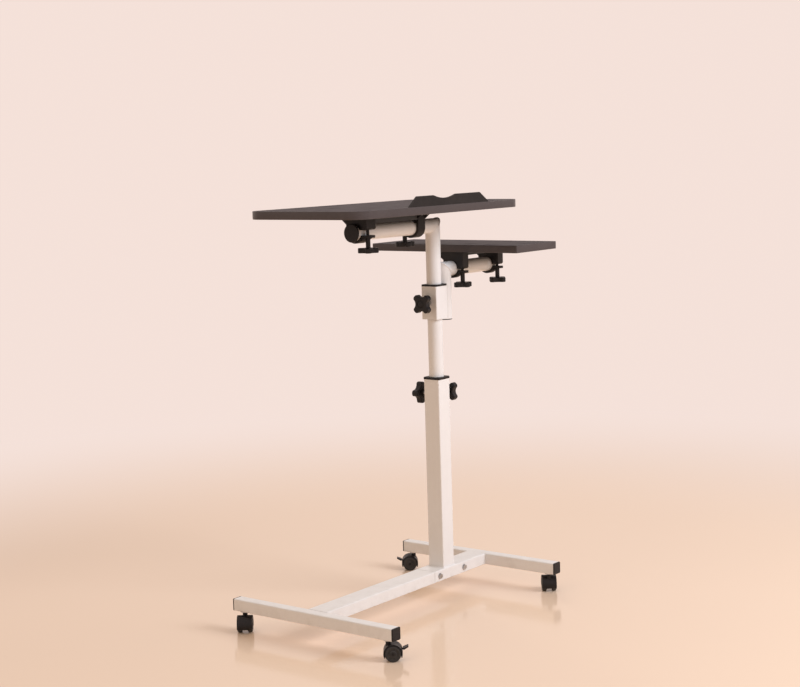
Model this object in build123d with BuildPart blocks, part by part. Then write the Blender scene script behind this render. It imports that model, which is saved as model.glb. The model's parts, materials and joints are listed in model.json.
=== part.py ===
from build123d import *

import math
import os

# Rolling laptop stand: an H-shaped base on four twin-wheel casters, a square post, a round mast
# that slides and turns in it, a tilting main board on the mast's arm, and a small side shelf
# carried by a sleeve that slides and turns on the mast.
# Frame: millimetres, +Z up. +X runs along the centre beam from the open foot to the post's foot,
# and -Y faces the user. Sizes are laid out from the mid-point between the two feet; at the end
# the whole stand is moved so that the origin lies on the floor under the centre of its outline.

os.makedirs("parts", exist_ok=True)

# ---------------------------------------------------------------- driving dimensions (mm, degrees)

# base frame
FOOT_SPACING = 576.0        # between the centre lines of the two feet
FOOT_LENGTH = 409.0         # steel tube, without its two end caps
FOOT_SIDE = 25.0            # square section
CAP_FLANGE = 3.0            # what an end cap adds to a tube's end
CAP_DEPTH = 9.0             # how far an end cap reaches into its tube
CAP_WALL = 1.6
BEAM_WIDTH = 50.0
BEAM_HEIGHT = 25.0
BASE_WALL = 1.5             # wall of every tube in the base
BASE_CORNER = 2.5           # outer corner radius of every tube in the base
POST_TO_FOOT = 143.5        # from the mast axis to the centre line of the post's foot
SEAM_TO_POST = 59.5         # from the mast axis back to the joint in the centre beam
SEAM_GAP = 1.0              # left between the two halves of the beam
SPIGOT_BEHIND = 70.0        # spigot length inside the open foot's half of the beam
SPIGOT_AHEAD = 140.0        # spigot length inside the post's half
SPIGOT_FIT = 0.15           # gap round the spigot
BOLT_BACK = 41.0            # the two beam bolts, behind and ahead of the mast axis
BOLT_AHEAD = 49.0
BOLT_R = 3.0
BOLT_CLEARANCE = 0.3
BOLT_HEAD_FLATS = 10.0
BOLT_HEAD = 4.0
BOLT_NUT = 5.0
BOLT_TAIL = 2.0             # thread left beyond a nut

# casters
CASTER_HEIGHT = 42.0        # floor to the underside of a foot
CASTER_OUT = 186.0          # from the middle of a foot to its caster's stem
WHEEL_R = 16.0
WHEEL_WIDTH = 10.0
WHEEL_EDGE = 1.6            # bevel between tread and face
WHEEL_GROOVE = 1.6          # depth of the ring groove in each face
WHEEL_GAP = 11.6            # between the two wheels of a caster
CORE_THICKNESS = 10.4       # moulded core between the two wheels
CORE_R = 12.5
HOOD_GAP = 0.8              # between a wheel's tread and the hood over it
HOOD_WALL = 1.9
HOOD_FRONT = 205.0          # the hood's reach round the axle, from the trailing side
HOOD_BACK = -22.0
TRAIL = 9.0                 # how far the axle trails behind the stem
AXLE_R = 3.0
AXLE_FIT = 0.05
AXLE_HEAD = 1.2             # stub of the axle beyond each wheel's hub
STEM_R = 3.5
STEM_FIT = 0.05
STEM_INSERT = 14.0          # stem length inside the caster's core
STEM_FLANGE_R = 9.5
STEM_FLANGE = 2.0
STEM_THREAD = 12.0          # stem length above the underside of the foot
NECK_R = 5.0
NECK_GAP = 0.4              # between the neck and the stem's flange
LEVER_PIN_R = 1.5
LEVER_PIN_OUT = 15.0        # the brake lever's pivot, from the axle
LEVER_PIN_UP = 5.0
LEVER_EYE = 1.7             # wall round the pivot pin
LEVER_TONGUE = 4.2
LEVER_SLOT = 5.0            # the slot for the lever in the core: width, length, height
LEVER_SLOT_LENGTH = 16.0
LEVER_SLOT_HEIGHT = 13.0
LEVER_SLOT_AHEAD = 4.0      # middle of the slot beyond the pin
LEVER_WIDTH = 14.0
LEVER_LENGTH = 11.5
LEVER_THICKNESS = 2.6       # of the tongue
LEVER_BASE = 4.0            # of the pedal at the hood, and at its tip
LEVER_TIP = 2.2
LEVER_OFF_HOOD = 1.2        # from the hood to the pedal
LEVER_RISE = 26.0           # slope of the raised lever
CASTER_TURNS = {"near_left": 217.6, "near_right": 307.6, "far_left": 127.6, "far_right": 37.6}
BRAKED = ("near_right", "far_left")

# post and mast
POST_SIDE = 40.0
POST_HEIGHT = 412.0
POST_WALL = 1.5
POST_CORNER = 2.5
BUSH_FLANGE = 5.0           # black flange on top of the post
BUSH_LIP = 1.0              # how far that flange stands proud of the post
BUSH_DEPTH = 45.0
PLUG_FIT = 0.15             # gap round every plug and bush inside its tube
MAST_R = 16.0
TUBE_WALL = 1.5
RUNNING_FIT = 0.08          # radial play of a round tube in its bush
ARM_HEIGHT = 809.0          # floor to the centre line of the main arm
MAST_INSERT = 193.0         # mast length inside the post
ARM_REACH = 273.0           # mast axis to the end of the main arm
GLIDE_HEIGHT = 34.0         # square plug that guides the mast's lower end
GLIDE_FLOOR = 6.0
GLIDE_SLIDE_FIT = 0.3       # gap between that plug and the post
RETAINER_R = 4.0            # pin that holds the plug on the mast
RETAINER_HEAD_R = 7.0
RETAINER_HEAD = 2.0
RETAINER_PLAY = 0.3
END_PLUG_DEPTH = 16.0       # round plugs in the tube ends
END_PLUG_FLANGE = 3.0
PLUG_WALL = 2.0
ARM_END_R = 19.0            # mushroom cap on the main arm's end
FOOT_PLUG_FLANGE = 2.0      # plug under the side tube
POST_KNOB_DROP = 33.0       # post top down to the two clamping knobs

# sleeve and side arm
SLEEVE_SIDE = 40.0
SLEEVE_HEIGHT = 71.0
SLEEVE_TO_SIDE_ARM = 104.0  # sleeve's lower end to the side arm's centre line
SLEEVE_BUSH_DEPTH = 14.0
SLEEVE_BUSH_FLANGE = 4.0
LINER_WALL = 1.1
LINER_PLAY = 0.3            # end play of the liner between the two bushes
LINER_TURN_FIT = 0.08
LINER_SEAT = 3.0            # depth of the liner's seat inside the sleeve's mouth
BOARDS_GAP = 80.0           # side arm's centre line to a board's thickness below the main arm's
SIDE_TUBE_DROP = 3.0        # how far the side tube hangs below the sleeve
SIDE_ARM_REACH = 219.0      # mast axis to the end of the side arm

# knobs
KNOB_R = 23.5               # four-lobed clamping knob
KNOB_SCALLOP_R = 12.0
KNOB_WAIST_R = 14.5         # least radius between two lobes
KNOB_THICKNESS = 14.0
KNOB_LOBE_FILLET = 5.0
KNOB_EDGE = 2.2
KNOB_STANDOFF = 17.0        # tube face to the back of a knob
KNOB_BOSS_R = 7.5
KNOB_BOSS = 4.0
KNOB_DISH_R = 8.0
KNOB_DISH = 1.5
SCREW_R = 4.0
SCREW_BITE = 9.0            # screw length moulded into a knob
SCREW_NUT_FLATS = 13.0
SCREW_NUT = 5.0
SCREW_FIT = 0.06
SCREW_TIP_GAP = 0.3         # between a loose screw's tip and the tube that it clamps

# clamps under the boards
BOARD_LIFT = 35.0           # tube centre line to the underside of a board
SEAT_FIT = 0.08             # radial play of a tube in its clamp
SADDLE_OUT = 33.0           # clamp's reach on the screw side
SADDLE_BACK = 31.0          # clamp's reach on the hinge side
SADDLE_FLANGE = 8.5
SADDLE_BLOCK_BACK = 13.0
MAIN_LEG = 6.0              # underside of a clamp's screw leg, above the tube centre line
SIDE_LEG = -1.0
LEG_EDGE = 3.0              # bevel at the leg's outer corner
STRAP = 5.6                 # thickness of the jaw
STRAP_INSET = 3.0           # rib on each side of the strap
RIB_GAP = 0.4
RIB_FOOT = 16.0             # where the ribs meet the block, below the board
HOOK_DEPTH = 5.0            # how far the jaw's tongue reaches into the flange
HOOK_GAP = 0.3
EAR_TOP = -5.0
EAR_THICKNESS = 5.0
EAR_OUT = 37.0
EAR_GUSSET = 2.5            # two gussets under the ear: thickness, drop, and how far they stop short
EAR_GUSSET_DROP = 7.0
EAR_GUSSET_SHORT = 9.0
EAR_RECESS = 0.6            # round the knob's stem, cut out of the gussets
EAR_HOLE_PLAY = 0.4         # round the clamp screw, where it passes the jaw's ear
CLAMP_SCREW_OUT = 24.0      # from the tube centre line to the clamp screw
CLAMP_SCREW_R = 3.0
CLAMP_SCREW_FIT = 0.06
CLAMP_SCREW_ABOVE_LEG = 18.0
CLAMP_NUT_FLATS = 10.0
CLAMP_NUT = 5.0
CLAMP_NUT_ABOVE_LEG = 9.0
CLAMP_NUT_PLAY = 0.15
CLAMP_STEM_R = 4.8
CLAMP_STEM = 20.0
CLAMP_STEM_GAP = 0.3
CLAMP_KNOB_R = 21.0
CLAMP_KNOB_SCALLOP_R = 10.0
CLAMP_KNOB_WAIST_R = 13.0
CLAMP_KNOB_THICKNESS = 10.5
CLAMP_KNOB_LOBE_FILLET = 4.0
CLAMP_KNOB_EDGE = 1.8
MAIN_CLAMP_WIDTH = 30.0
SIDE_CLAMP_WIDTH = 20.0
WOOD_SCREW_R = 2.0
WOOD_SCREW_HEAD_R = 3.8
WOOD_SCREW_HEAD = 2.4
WOOD_SCREW_BITE = 10.0      # screw length inside a board
WOOD_SCREW_EDGE = 5.0       # screw centre in from a flange's corner

# boards
BOARD_THICKNESS = 16.0
BAND = 0.6                  # edge banding
MAIN_LENGTH = 560.0         # along X
MAIN_DEPTH = 290.0          # along Y
MAIN_CORNER = 38.0
MAIN_CENTRE = -150.0        # board centre from the mast axis, along X
MAIN_CLAMP_FROM_END = 21.0  # the outer clamp's middle, from the main arm's end
MAIN_CLAMPS = (MAIN_CLAMP_FROM_END - ARM_REACH, -67.0)
MAIN_CLAMP_SIDES = (-1, 1)  # side of the arm on which each clamp's screw stands
RAIL_WIDTH = 44.0
RAIL_GAUGE = 2.0
RAIL_BEND = 3.0
MAIN_RAIL_DEPTH = 18.0
SIDE_RAIL_DEPTH = 8.5
LIP_LENGTH = 273.0
LIP_SHIFT = 17.5            # lip centre from the board's centre, along X
LIP_HEIGHT = 21.0           # above the board
LIP_WALL = 5.0
LIP_FOOT = 20.0             # the lip's foot lies flush in a rebate of the board
LIP_FOOT_THICKNESS = 3.0
LIP_RAMP_LEFT = 27.0        # slanted ends
LIP_RAMP_RIGHT = 32.0
LIP_NOTCH = 77.0            # finger scallop, centred on the board's middle
LIP_NOTCH_DEPTH = 6.5
LIP_EDGE = 1.5
SHELF_WIDTH = 156.0         # along X
SHELF_LENGTH = 388.0        # along Y
SHELF_SHIFT = 21.0          # shelf centre from the arm, along Y
SHELF_START = 62.0          # mast axis to the shelf's near edge
SIDE_CLAMP_FROM_END = 12.0
SIDE_CLAMPS = (73.0, SIDE_ARM_REACH - SIDE_CLAMP_FROM_END)
SIDE_CLAMP_SIDES = (-1, -1)
SHELF_CORNER = 2.0

# ---------------------------------------------------------------- derived places

X_NEAR_FOOT = -FOOT_SPACING / 2
X_FAR_FOOT = FOOT_SPACING / 2
X_MAST = X_FAR_FOOT - POST_TO_FOOT
X_SEAM = X_MAST - SEAM_TO_POST
X_LIP = X_MAST + MAIN_CENTRE + LIP_SHIFT
Z_FOOT = CASTER_HEIGHT
Z_FOOT_TOP = CASTER_HEIGHT + FOOT_SIDE
Z_BEAM = Z_FOOT_TOP - BEAM_HEIGHT / 2
Z_POST_TOP = Z_FOOT_TOP + POST_HEIGHT
Z_POST_KNOB = Z_POST_TOP - POST_KNOB_DROP
Z_MAST_BOTTOM = Z_POST_TOP - MAST_INSERT
SIDE_ARM_HEIGHT = ARM_HEIGHT - BOARD_THICKNESS - BOARDS_GAP
SLEEVE_BOTTOM = SIDE_ARM_HEIGHT - SLEEVE_TO_SIDE_ARM
Z_SLEEVE_TOP = SLEEVE_BOTTOM + SLEEVE_HEIGHT
Z_SLEEVE_KNOB = SLEEVE_BOTTOM + SLEEVE_HEIGHT / 2
X_SIDE_TUBE = X_MAST + SLEEVE_SIDE / 2 + MAST_R
Z_AXLE = WHEEL_R
MAST_BORE_R = MAST_R - TUBE_WALL
BUSH_BORE_R = MAST_R + RUNNING_FIT
HOOD_INNER_R = WHEEL_R + HOOD_GAP
HOOD_R = HOOD_INNER_R + HOOD_WALL
CASTER_WIDTH = WHEEL_GAP + 2 * WHEEL_WIDTH
SEAT_R = MAST_R + SEAT_FIT


# ---------------------------------------------------------------- shared shapes

PIECES = {}


def keep(name, *solids):
    """Remember the solids of one named piece until the whole stand is placed."""
    PIECES[name] = solids


def write_all():
    """Move the stand over the centre of its outline, then write each piece to its own file."""
    boxes = [solid.bounding_box() for solids in PIECES.values() for solid in solids]
    middle_x = (min(box.min.X for box in boxes) + max(box.max.X for box in boxes)) / 2
    middle_y = (min(box.min.Y for box in boxes) + max(box.max.Y for box in boxes)) / 2
    print("moved by", round(-middle_x, 3), round(-middle_y, 3))
    for name, solids in PIECES.items():
        placed = [solid.moved(Location((-middle_x, -middle_y, 0))) for solid in solids]
        part = placed[0] if len(placed) == 1 else Compound(children=placed)
        part.label = name
        export_step(part, f"parts/{name}.step")


def drill(origin, direction, radius, depth):
    """Cut a round hole into the part being built."""
    with BuildSketch(Plane(origin=origin, z_dir=direction)) as spot:
        Circle(radius)
    extrude(spot.sketch, amount=depth, mode=Mode.SUBTRACT)


def box_tube(plane, width, height, wall, corner, length):
    """Rectangular tube whose section lies on plane, extruded along its normal."""
    with BuildPart() as tube:
        with BuildSketch(plane):
            RectangleRounded(width, height, corner)
            RectangleRounded(width - 2 * wall, height - 2 * wall, corner - wall / 2, mode=Mode.SUBTRACT)
        extrude(amount=length)
    return tube.part


def hexagon_nut(plane, flats, thickness, bore):
    """Hexagon nut standing on plane."""
    with BuildPart() as nut:
        with BuildSketch(plane):
            RegularPolygon(flats / 2, 6, major_radius=False)
            Circle(bore, mode=Mode.SUBTRACT)
        extrude(amount=thickness)
    return nut.part


def end_cap(plane, side, wall, corner):
    """Square cap: a flange on a tube's end, and a hollow plug inside it."""
    inner = side - 2 * wall - 2 * PLUG_FIT
    with BuildPart() as cap:
        with BuildSketch(plane):
            RectangleRounded(side, side, corner)
        extrude(amount=CAP_FLANGE)
        fillet(cap.faces().sort_by(Axis(plane.origin, plane.z_dir))[-1].edges(), CAP_FLANGE / 3)
        with BuildSketch(plane):
            RectangleRounded(inner, inner, corner - wall / 2)
            Rectangle(inner - 2 * CAP_WALL, inner - 2 * CAP_WALL, mode=Mode.SUBTRACT)
        extrude(amount=-CAP_DEPTH)
    return cap.part


def round_plug(plane, bore_r, flange_r, flange):
    """Domed plug in the end of a round tube, flange on plane and body behind it."""
    with BuildPart() as plug:
        with BuildSketch(plane):
            Circle(flange_r)
        extrude(amount=flange)
        fillet(plug.faces().sort_by(Axis(plane.origin, plane.z_dir))[-1].edges(), flange * 0.6)
        with BuildSketch(plane):
            Circle(bore_r - PLUG_FIT)
            Circle(bore_r - PLUG_FIT - PLUG_WALL, mode=Mode.SUBTRACT)
        extrude(amount=-END_PLUG_DEPTH)
    return plug.part


def lobed_outline(radius, scallop_r, waist_r, lobe_fillet, turn):
    """Sketch of a four-lobed knob on the XY plane."""
    with BuildSketch() as outline:
        Circle(radius)
        with PolarLocations(waist_r + scallop_r, 4, start_angle=45 + turn):
            Circle(scallop_r, mode=Mode.SUBTRACT)
        fillet(outline.vertices(), lobe_fillet)
    return outline.sketch


# ---------------------------------------------------------------- base frame

def foot(x, name):
    """Square tube along Y, drilled from below for two caster stems."""
    start = Plane(origin=(x, -FOOT_LENGTH / 2, Z_FOOT + FOOT_SIDE / 2), x_dir=(1, 0, 0), z_dir=(0, 1, 0))
    with BuildPart() as tube:
        add(box_tube(start, FOOT_SIDE, FOOT_SIDE, BASE_WALL, BASE_CORNER, FOOT_LENGTH))
        for y in (-CASTER_OUT, CASTER_OUT):
            drill((x, y, Z_FOOT - 1), (0, 0, 1), STEM_R, BASE_WALL + 2)
    keep(name, tube.part)


def foot_caps():
    """Four caps, one on each end of each foot."""
    caps = []
    for x in (X_NEAR_FOOT, X_FAR_FOOT):
        for side in (-1, 1):
            origin = (x, side * FOOT_LENGTH / 2, Z_FOOT + FOOT_SIDE / 2)
            plane = Plane(origin=origin, x_dir=(1, 0, 0), z_dir=(0, side, 0))
            caps.append(end_cap(plane, FOOT_SIDE, BASE_WALL, BASE_CORNER))
    keep("foot_end_caps", *caps)


def beam_half(x_start, x_end, bolt_places, name):
    """One half of the centre beam, along X between a foot and the seam."""
    start = Plane(origin=(x_start, 0, Z_BEAM), x_dir=(0, 1, 0), z_dir=(1, 0, 0))
    with BuildPart() as beam:
        add(box_tube(start, BEAM_WIDTH, BEAM_HEIGHT, BASE_WALL, BASE_CORNER, x_end - x_start))
        for x in bolt_places:
            drill((x, -BEAM_WIDTH, Z_BEAM), (0, 1, 0), BOLT_R + BOLT_CLEARANCE, 2 * BEAM_WIDTH)
    keep(name, beam.part)


def beam_spigot(bolt_places):
    """Inner tube that joins the two halves of the beam."""
    width = BEAM_WIDTH - 2 * BASE_WALL - 2 * SPIGOT_FIT
    height = BEAM_HEIGHT - 2 * BASE_WALL - 2 * SPIGOT_FIT
    start = Plane(origin=(X_SEAM - SPIGOT_BEHIND, 0, Z_BEAM), x_dir=(0, 1, 0), z_dir=(1, 0, 0))
    with BuildPart() as spigot:
        add(box_tube(start, width, height, BASE_WALL, BASE_WALL + 0.4, SPIGOT_BEHIND + SPIGOT_AHEAD))
        for x in bolt_places:
            drill((x, -BEAM_WIDTH, Z_BEAM), (0, 1, 0), BOLT_R + BOLT_CLEARANCE, 2 * BEAM_WIDTH)
    keep("beam_spigot", spigot.part)


def beam_bolts(bolt_places):
    """Hexagon bolts through the beam, with their nuts, as separate solids."""
    pieces = []
    for x in bolt_places:
        head_plane = Plane(origin=(x, -BEAM_WIDTH / 2, Z_BEAM), x_dir=(1, 0, 0), z_dir=(0, -1, 0))
        with BuildPart() as bolt:
            with BuildSketch(head_plane):
                RegularPolygon(BOLT_HEAD_FLATS / 2, 6, major_radius=False)
            extrude(amount=BOLT_HEAD)
            with BuildSketch(head_plane):
                Circle(BOLT_R)
            extrude(amount=-(BEAM_WIDTH + BOLT_NUT + BOLT_TAIL))
        pieces.append(bolt.part)
        nut_plane = Plane(origin=(x, BEAM_WIDTH / 2, Z_BEAM), x_dir=(1, 0, 0), z_dir=(0, 1, 0))
        pieces.append(hexagon_nut(nut_plane, BOLT_HEAD_FLATS, BOLT_NUT, BOLT_R))
    keep("beam_bolts", *pieces)


# ---------------------------------------------------------------- casters

def caster_frame(corner):
    """Plane of a caster: origin on its axle, local x to the trailing side, local z along the axle."""
    x = X_NEAR_FOOT if corner.startswith("near") else X_FAR_FOOT
    y = CASTER_OUT if corner.endswith("left") else -CASTER_OUT
    turn = math.radians(CASTER_TURNS[corner])
    trail = (math.cos(turn), math.sin(turn))
    origin = (x + TRAIL * trail[0], y + TRAIL * trail[1], Z_AXLE)
    return Plane(origin=origin, x_dir=(trail[0], trail[1], 0), z_dir=(trail[1], -trail[0], 0))


def caster_stems():
    """Threaded stems with flanges, fixed in the feet, on which the casters turn."""
    stems = []
    for x in (X_NEAR_FOOT, X_FAR_FOOT):
        for y in (CASTER_OUT, -CASTER_OUT):
            with BuildPart() as stem:
                with BuildSketch(Plane(origin=(x, y, Z_FOOT - STEM_FLANGE))):
                    Circle(STEM_FLANGE_R)
                extrude(amount=STEM_FLANGE)
                with BuildSketch(Plane(origin=(x, y, caster_socket_bottom() + STEM_FIT))):
                    Circle(STEM_R)
                extrude(amount=Z_FOOT + STEM_THREAD - caster_socket_bottom() - STEM_FIT)
            stems.append(stem.part)
    keep("caster_stems", *stems)


def caster_socket_bottom():
    """Height of the bottom of the stem's socket in a caster."""
    return Z_FOOT - STEM_FLANGE - NECK_GAP - STEM_INSERT


def hood_sector(start, end, inner, outer):
    """Sketch of a ring sector on the XY plane, from one angle to another."""
    def at(radius, angle):
        return (radius * math.cos(math.radians(angle)), radius * math.sin(math.radians(angle)))

    middle = (start + end) / 2
    with BuildSketch() as sector:
        with BuildLine():
            ThreePointArc(at(outer, start), at(outer, middle), at(outer, end))
            Line(at(outer, end), at(inner, end))
            ThreePointArc(at(inner, end), at(inner, middle), at(inner, start))
            Line(at(inner, start), at(outer, start))
        make_face()
    return sector.sketch


def caster_body(corner):
    """Core between the wheels, hood over them, neck, axle, and a slot where a lever needs it."""
    frame = caster_frame(corner)
    neck_top = Z_FOOT - STEM_FLANGE - NECK_GAP - Z_AXLE
    with BuildPart() as body:
        with BuildSketch(Plane.XY.offset(-CORE_THICKNESS / 2)):
            Circle(CORE_R)
            add(hood_sector(HOOD_BACK, HOOD_FRONT, CORE_R / 2, HOOD_R))
        extrude(amount=CORE_THICKNESS)
        for side in (-1, 1):
            add(hood_wing(side))
            with BuildSketch(Plane.XY.offset(side * CORE_THICKNESS / 2)):
                Circle(AXLE_R)
            extrude(amount=side * ((CASTER_WIDTH - CORE_THICKNESS) / 2 + AXLE_HEAD))
        with BuildSketch(Plane(origin=(-TRAIL, CORE_R * 0.8, 0), x_dir=(1, 0, 0), z_dir=(0, 1, 0))):
            Circle(NECK_R)
        extrude(amount=neck_top - CORE_R * 0.8)
        drill((-TRAIL, neck_top + 1, 0), (0, -1, 0), STEM_R + STEM_FIT, STEM_INSERT + 1)
        if corner in BRAKED:
            with BuildSketch(Plane(origin=(LEVER_PIN_OUT + LEVER_SLOT_AHEAD, LEVER_PIN_UP, -LEVER_SLOT / 2))):
                Rectangle(LEVER_SLOT_LENGTH, LEVER_SLOT_HEIGHT)
            extrude(amount=LEVER_SLOT, mode=Mode.SUBTRACT)
            with BuildSketch(Plane(origin=(LEVER_PIN_OUT, LEVER_PIN_UP, -CORE_THICKNESS / 2))):
                Circle(LEVER_PIN_R)
            extrude(amount=CORE_THICKNESS)
    keep(f"caster_body_{corner}", frame.from_local_coords(body.part))


def hood_wing(side):
    """The part of the hood over one wheel, with a rounded outer rim."""
    with BuildPart() as wing:
        with BuildSketch(Plane.XY.offset(side * CORE_THICKNESS / 2)):
            add(hood_sector(HOOD_BACK, HOOD_FRONT, HOOD_INNER_R, HOOD_R))
        extrude(amount=side * (CASTER_WIDTH - CORE_THICKNESS) / 2)
        rim = wing.faces().sort_by(Axis.Z)[-1 if side > 0 else 0]
        fillet(rim.edges().filter_by(GeomType.CIRCLE).sort_by(SortBy.RADIUS)[-1], HOOD_WALL * 0.45)
    return wing.part


def caster_wheels(corner):
    """The two wheels of a caster, each with a crowned tread, a web and a raised hub."""
    frame = caster_frame(corner)
    half = WHEEL_WIDTH / 2
    wheels = []
    for side in (-1, 1):
        middle = side * (WHEEL_GAP / 2 + half)
        with BuildPart() as wheel:
            with BuildSketch(Plane(origin=(0, 0, middle), x_dir=(1, 0, 0), z_dir=(0, -1, 0))):
                with BuildLine():
                    Polyline((AXLE_R + AXLE_FIT, -half), (WHEEL_R - WHEEL_EDGE, -half),
                             (WHEEL_R, -half + WHEEL_EDGE), (WHEEL_R, half - WHEEL_EDGE),
                             (WHEEL_R - WHEEL_EDGE, half), (AXLE_R + AXLE_FIT, half), close=True)
                make_face()
                with Locations((WHEEL_R * 0.62, side * half)):
                    Rectangle(WHEEL_R * 0.3, 2 * WHEEL_GROOVE, mode=Mode.SUBTRACT)
            revolve(axis=Axis((0, 0, 0), (0, 0, 1)))
        wheels.append(frame.from_local_coords(wheel.part))
    keep(f"caster_wheels_{corner}", *wheels)


def brake_lever(corner):
    """Pedal with a tongue that turns on a pin in the caster's core."""
    frame = caster_frame(corner)
    rise = math.radians(LEVER_RISE)
    along = (math.cos(rise), math.sin(rise))
    root = HOOD_R + LEVER_OFF_HOOD - LEVER_PIN_OUT
    pedal = Plane(origin=(LEVER_PIN_OUT, LEVER_PIN_UP, 0), x_dir=(along[0], along[1], 0), z_dir=(0, 0, 1))
    with BuildPart() as lever:
        with BuildSketch(pedal):
            Circle(LEVER_PIN_R + LEVER_EYE)
            with Locations((root / 2 + 1, 0)):
                Rectangle(root + 2, LEVER_THICKNESS)
            Circle(LEVER_PIN_R + RUNNING_FIT, mode=Mode.SUBTRACT)
        extrude(amount=LEVER_TONGUE / 2, both=True)
        with BuildSketch(pedal) as blade:
            with BuildLine():
                Polyline((root, -LEVER_BASE / 2), (root + LEVER_LENGTH, -LEVER_TIP / 2),
                         (root + LEVER_LENGTH, LEVER_TIP / 2), (root, LEVER_BASE / 2), close=True)
            make_face()
            fillet(blade.vertices(), LEVER_TIP * 0.4)
        extrude(amount=LEVER_WIDTH / 2, both=True)
    keep(f"brake_lever_{corner}", frame.from_local_coords(lever.part))


# ---------------------------------------------------------------- post and mast

def knob_holes(planes, radius):
    """Cut the clearance holes of a set of clamping screws into the part being built."""
    for plane in planes:
        drill(plane.origin, -plane.z_dir, radius, POST_SIDE / 2 - MAST_R + 0.5)


def side_knob_plane(x_sign, y_sign, z, side, turn):
    """Plane on one face of a square tube round the mast axis, facing outward."""
    origin = (X_MAST + x_sign * side / 2, y_sign * side / 2, z)
    level, rise = math.cos(math.radians(turn)), math.sin(math.radians(turn))
    return Plane(origin=origin, x_dir=(-y_sign * level, x_sign * level, rise), z_dir=(x_sign, y_sign, 0))


def post(screw_planes):
    """Square post on the centre beam, drilled for its clamping screws."""
    base = Plane(origin=(X_MAST, 0, Z_FOOT_TOP))
    with BuildPart() as tube:
        add(box_tube(base, POST_SIDE, POST_SIDE, POST_WALL, POST_CORNER, POST_HEIGHT))
        knob_holes(screw_planes, SCREW_R + SCREW_FIT)
    keep("post", tube.part)


def post_bush(screw_planes):
    """Plastic bush in the post's mouth: square outside, round inside, with a thin top flange."""
    top = Plane(origin=(X_MAST, 0, Z_POST_TOP))
    inner = POST_SIDE - 2 * POST_WALL - 2 * PLUG_FIT
    with BuildPart() as bush:
        with BuildSketch(top):
            RectangleRounded(POST_SIDE + 2 * BUSH_LIP, POST_SIDE + 2 * BUSH_LIP, POST_CORNER + BUSH_LIP)
        extrude(amount=BUSH_FLANGE)
        fillet(bush.faces().sort_by(Axis.Z)[-1].edges(), BUSH_FLANGE * 0.35)
        with BuildSketch(top):
            RectangleRounded(inner, inner, POST_CORNER - POST_WALL / 2)
        extrude(amount=-BUSH_DEPTH)
        drill((X_MAST, 0, Z_POST_TOP - BUSH_DEPTH - 1), (0, 0, 1), BUSH_BORE_R, BUSH_DEPTH + BUSH_FLANGE + 2)
        knob_holes(screw_planes, SCREW_R + SCREW_FIT)
    keep("post_bush", bush.part)


def weld_nuts(screw_planes, name):
    """Nuts welded over the clamping screws' holes."""
    nuts = [hexagon_nut(plane, SCREW_NUT_FLATS, SCREW_NUT, SCREW_R + SCREW_FIT) for plane in screw_planes]
    keep(name, *nuts)


def clamping_knob(plane, tip_depth, name):
    """Four-lobed knob standing off a tube's face, and its screw with a turned-down tip."""
    back = plane.offset(KNOB_STANDOFF)
    outline = lobed_outline(KNOB_R, KNOB_SCALLOP_R, KNOB_WAIST_R, KNOB_LOBE_FILLET, 0)
    with BuildPart() as knob:
        extrude(outline, amount=KNOB_THICKNESS)
        fillet(knob.faces().sort_by(Axis.Z)[-1].edges(), KNOB_EDGE)
        fillet(knob.faces().sort_by(Axis.Z)[0].edges(), KNOB_EDGE)
        with BuildSketch(Plane.XY.offset(KNOB_THICKNESS)):
            Circle(KNOB_DISH_R)
        extrude(amount=-KNOB_DISH, mode=Mode.SUBTRACT)
        with BuildSketch():
            Circle(KNOB_BOSS_R)
        extrude(amount=-KNOB_BOSS)
        drill((0, 0, -KNOB_BOSS), (0, 0, 1), SCREW_R, KNOB_BOSS + SCREW_BITE)
    keep(name, back.from_local_coords(knob.part))
    with BuildPart() as screw:
        with BuildSketch(Plane.XY.offset(-(KNOB_STANDOFF + tip_depth))):
            Circle(SCREW_R)
        extrude(amount=KNOB_STANDOFF + tip_depth + SCREW_BITE)
        chamfer(screw.faces().sort_by(Axis.Z)[0].edges(), SCREW_R * 0.25)
    keep(f"{name}_screw", back.from_local_coords(screw.part))


def mast_and_arm():
    """Two round tubes welded at a mitre: the upright mast and the arm under the main board."""
    mitre = Plane(origin=(X_MAST, 0, ARM_HEIGHT), z_dir=(1, 0, -1))
    with BuildPart() as mast:
        with BuildSketch(Plane(origin=(X_MAST, 0, Z_MAST_BOTTOM))):
            Circle(MAST_R)
            Circle(MAST_BORE_R, mode=Mode.SUBTRACT)
        extrude(amount=ARM_HEIGHT + MAST_R - Z_MAST_BOTTOM + 1)
        split(bisect_by=mitre, keep=Keep.TOP)
    keep("mast_tube", mast.part)
    arm_start = Plane(origin=(X_MAST - ARM_REACH, 0, ARM_HEIGHT), x_dir=(0, 1, 0), z_dir=(1, 0, 0))
    with BuildPart() as arm:
        with BuildSketch(arm_start):
            Circle(MAST_R)
            Circle(MAST_BORE_R, mode=Mode.SUBTRACT)
        extrude(amount=ARM_REACH + MAST_R + 1)
        split(bisect_by=mitre, keep=Keep.BOTTOM)
    keep("arm_tube", arm.part)
    outward = Plane(origin=(X_MAST - ARM_REACH, 0, ARM_HEIGHT), x_dir=(0, 1, 0), z_dir=(-1, 0, 0))
    keep("arm_end_plug", round_plug(outward, MAST_BORE_R, ARM_END_R, END_PLUG_FLANGE))


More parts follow.
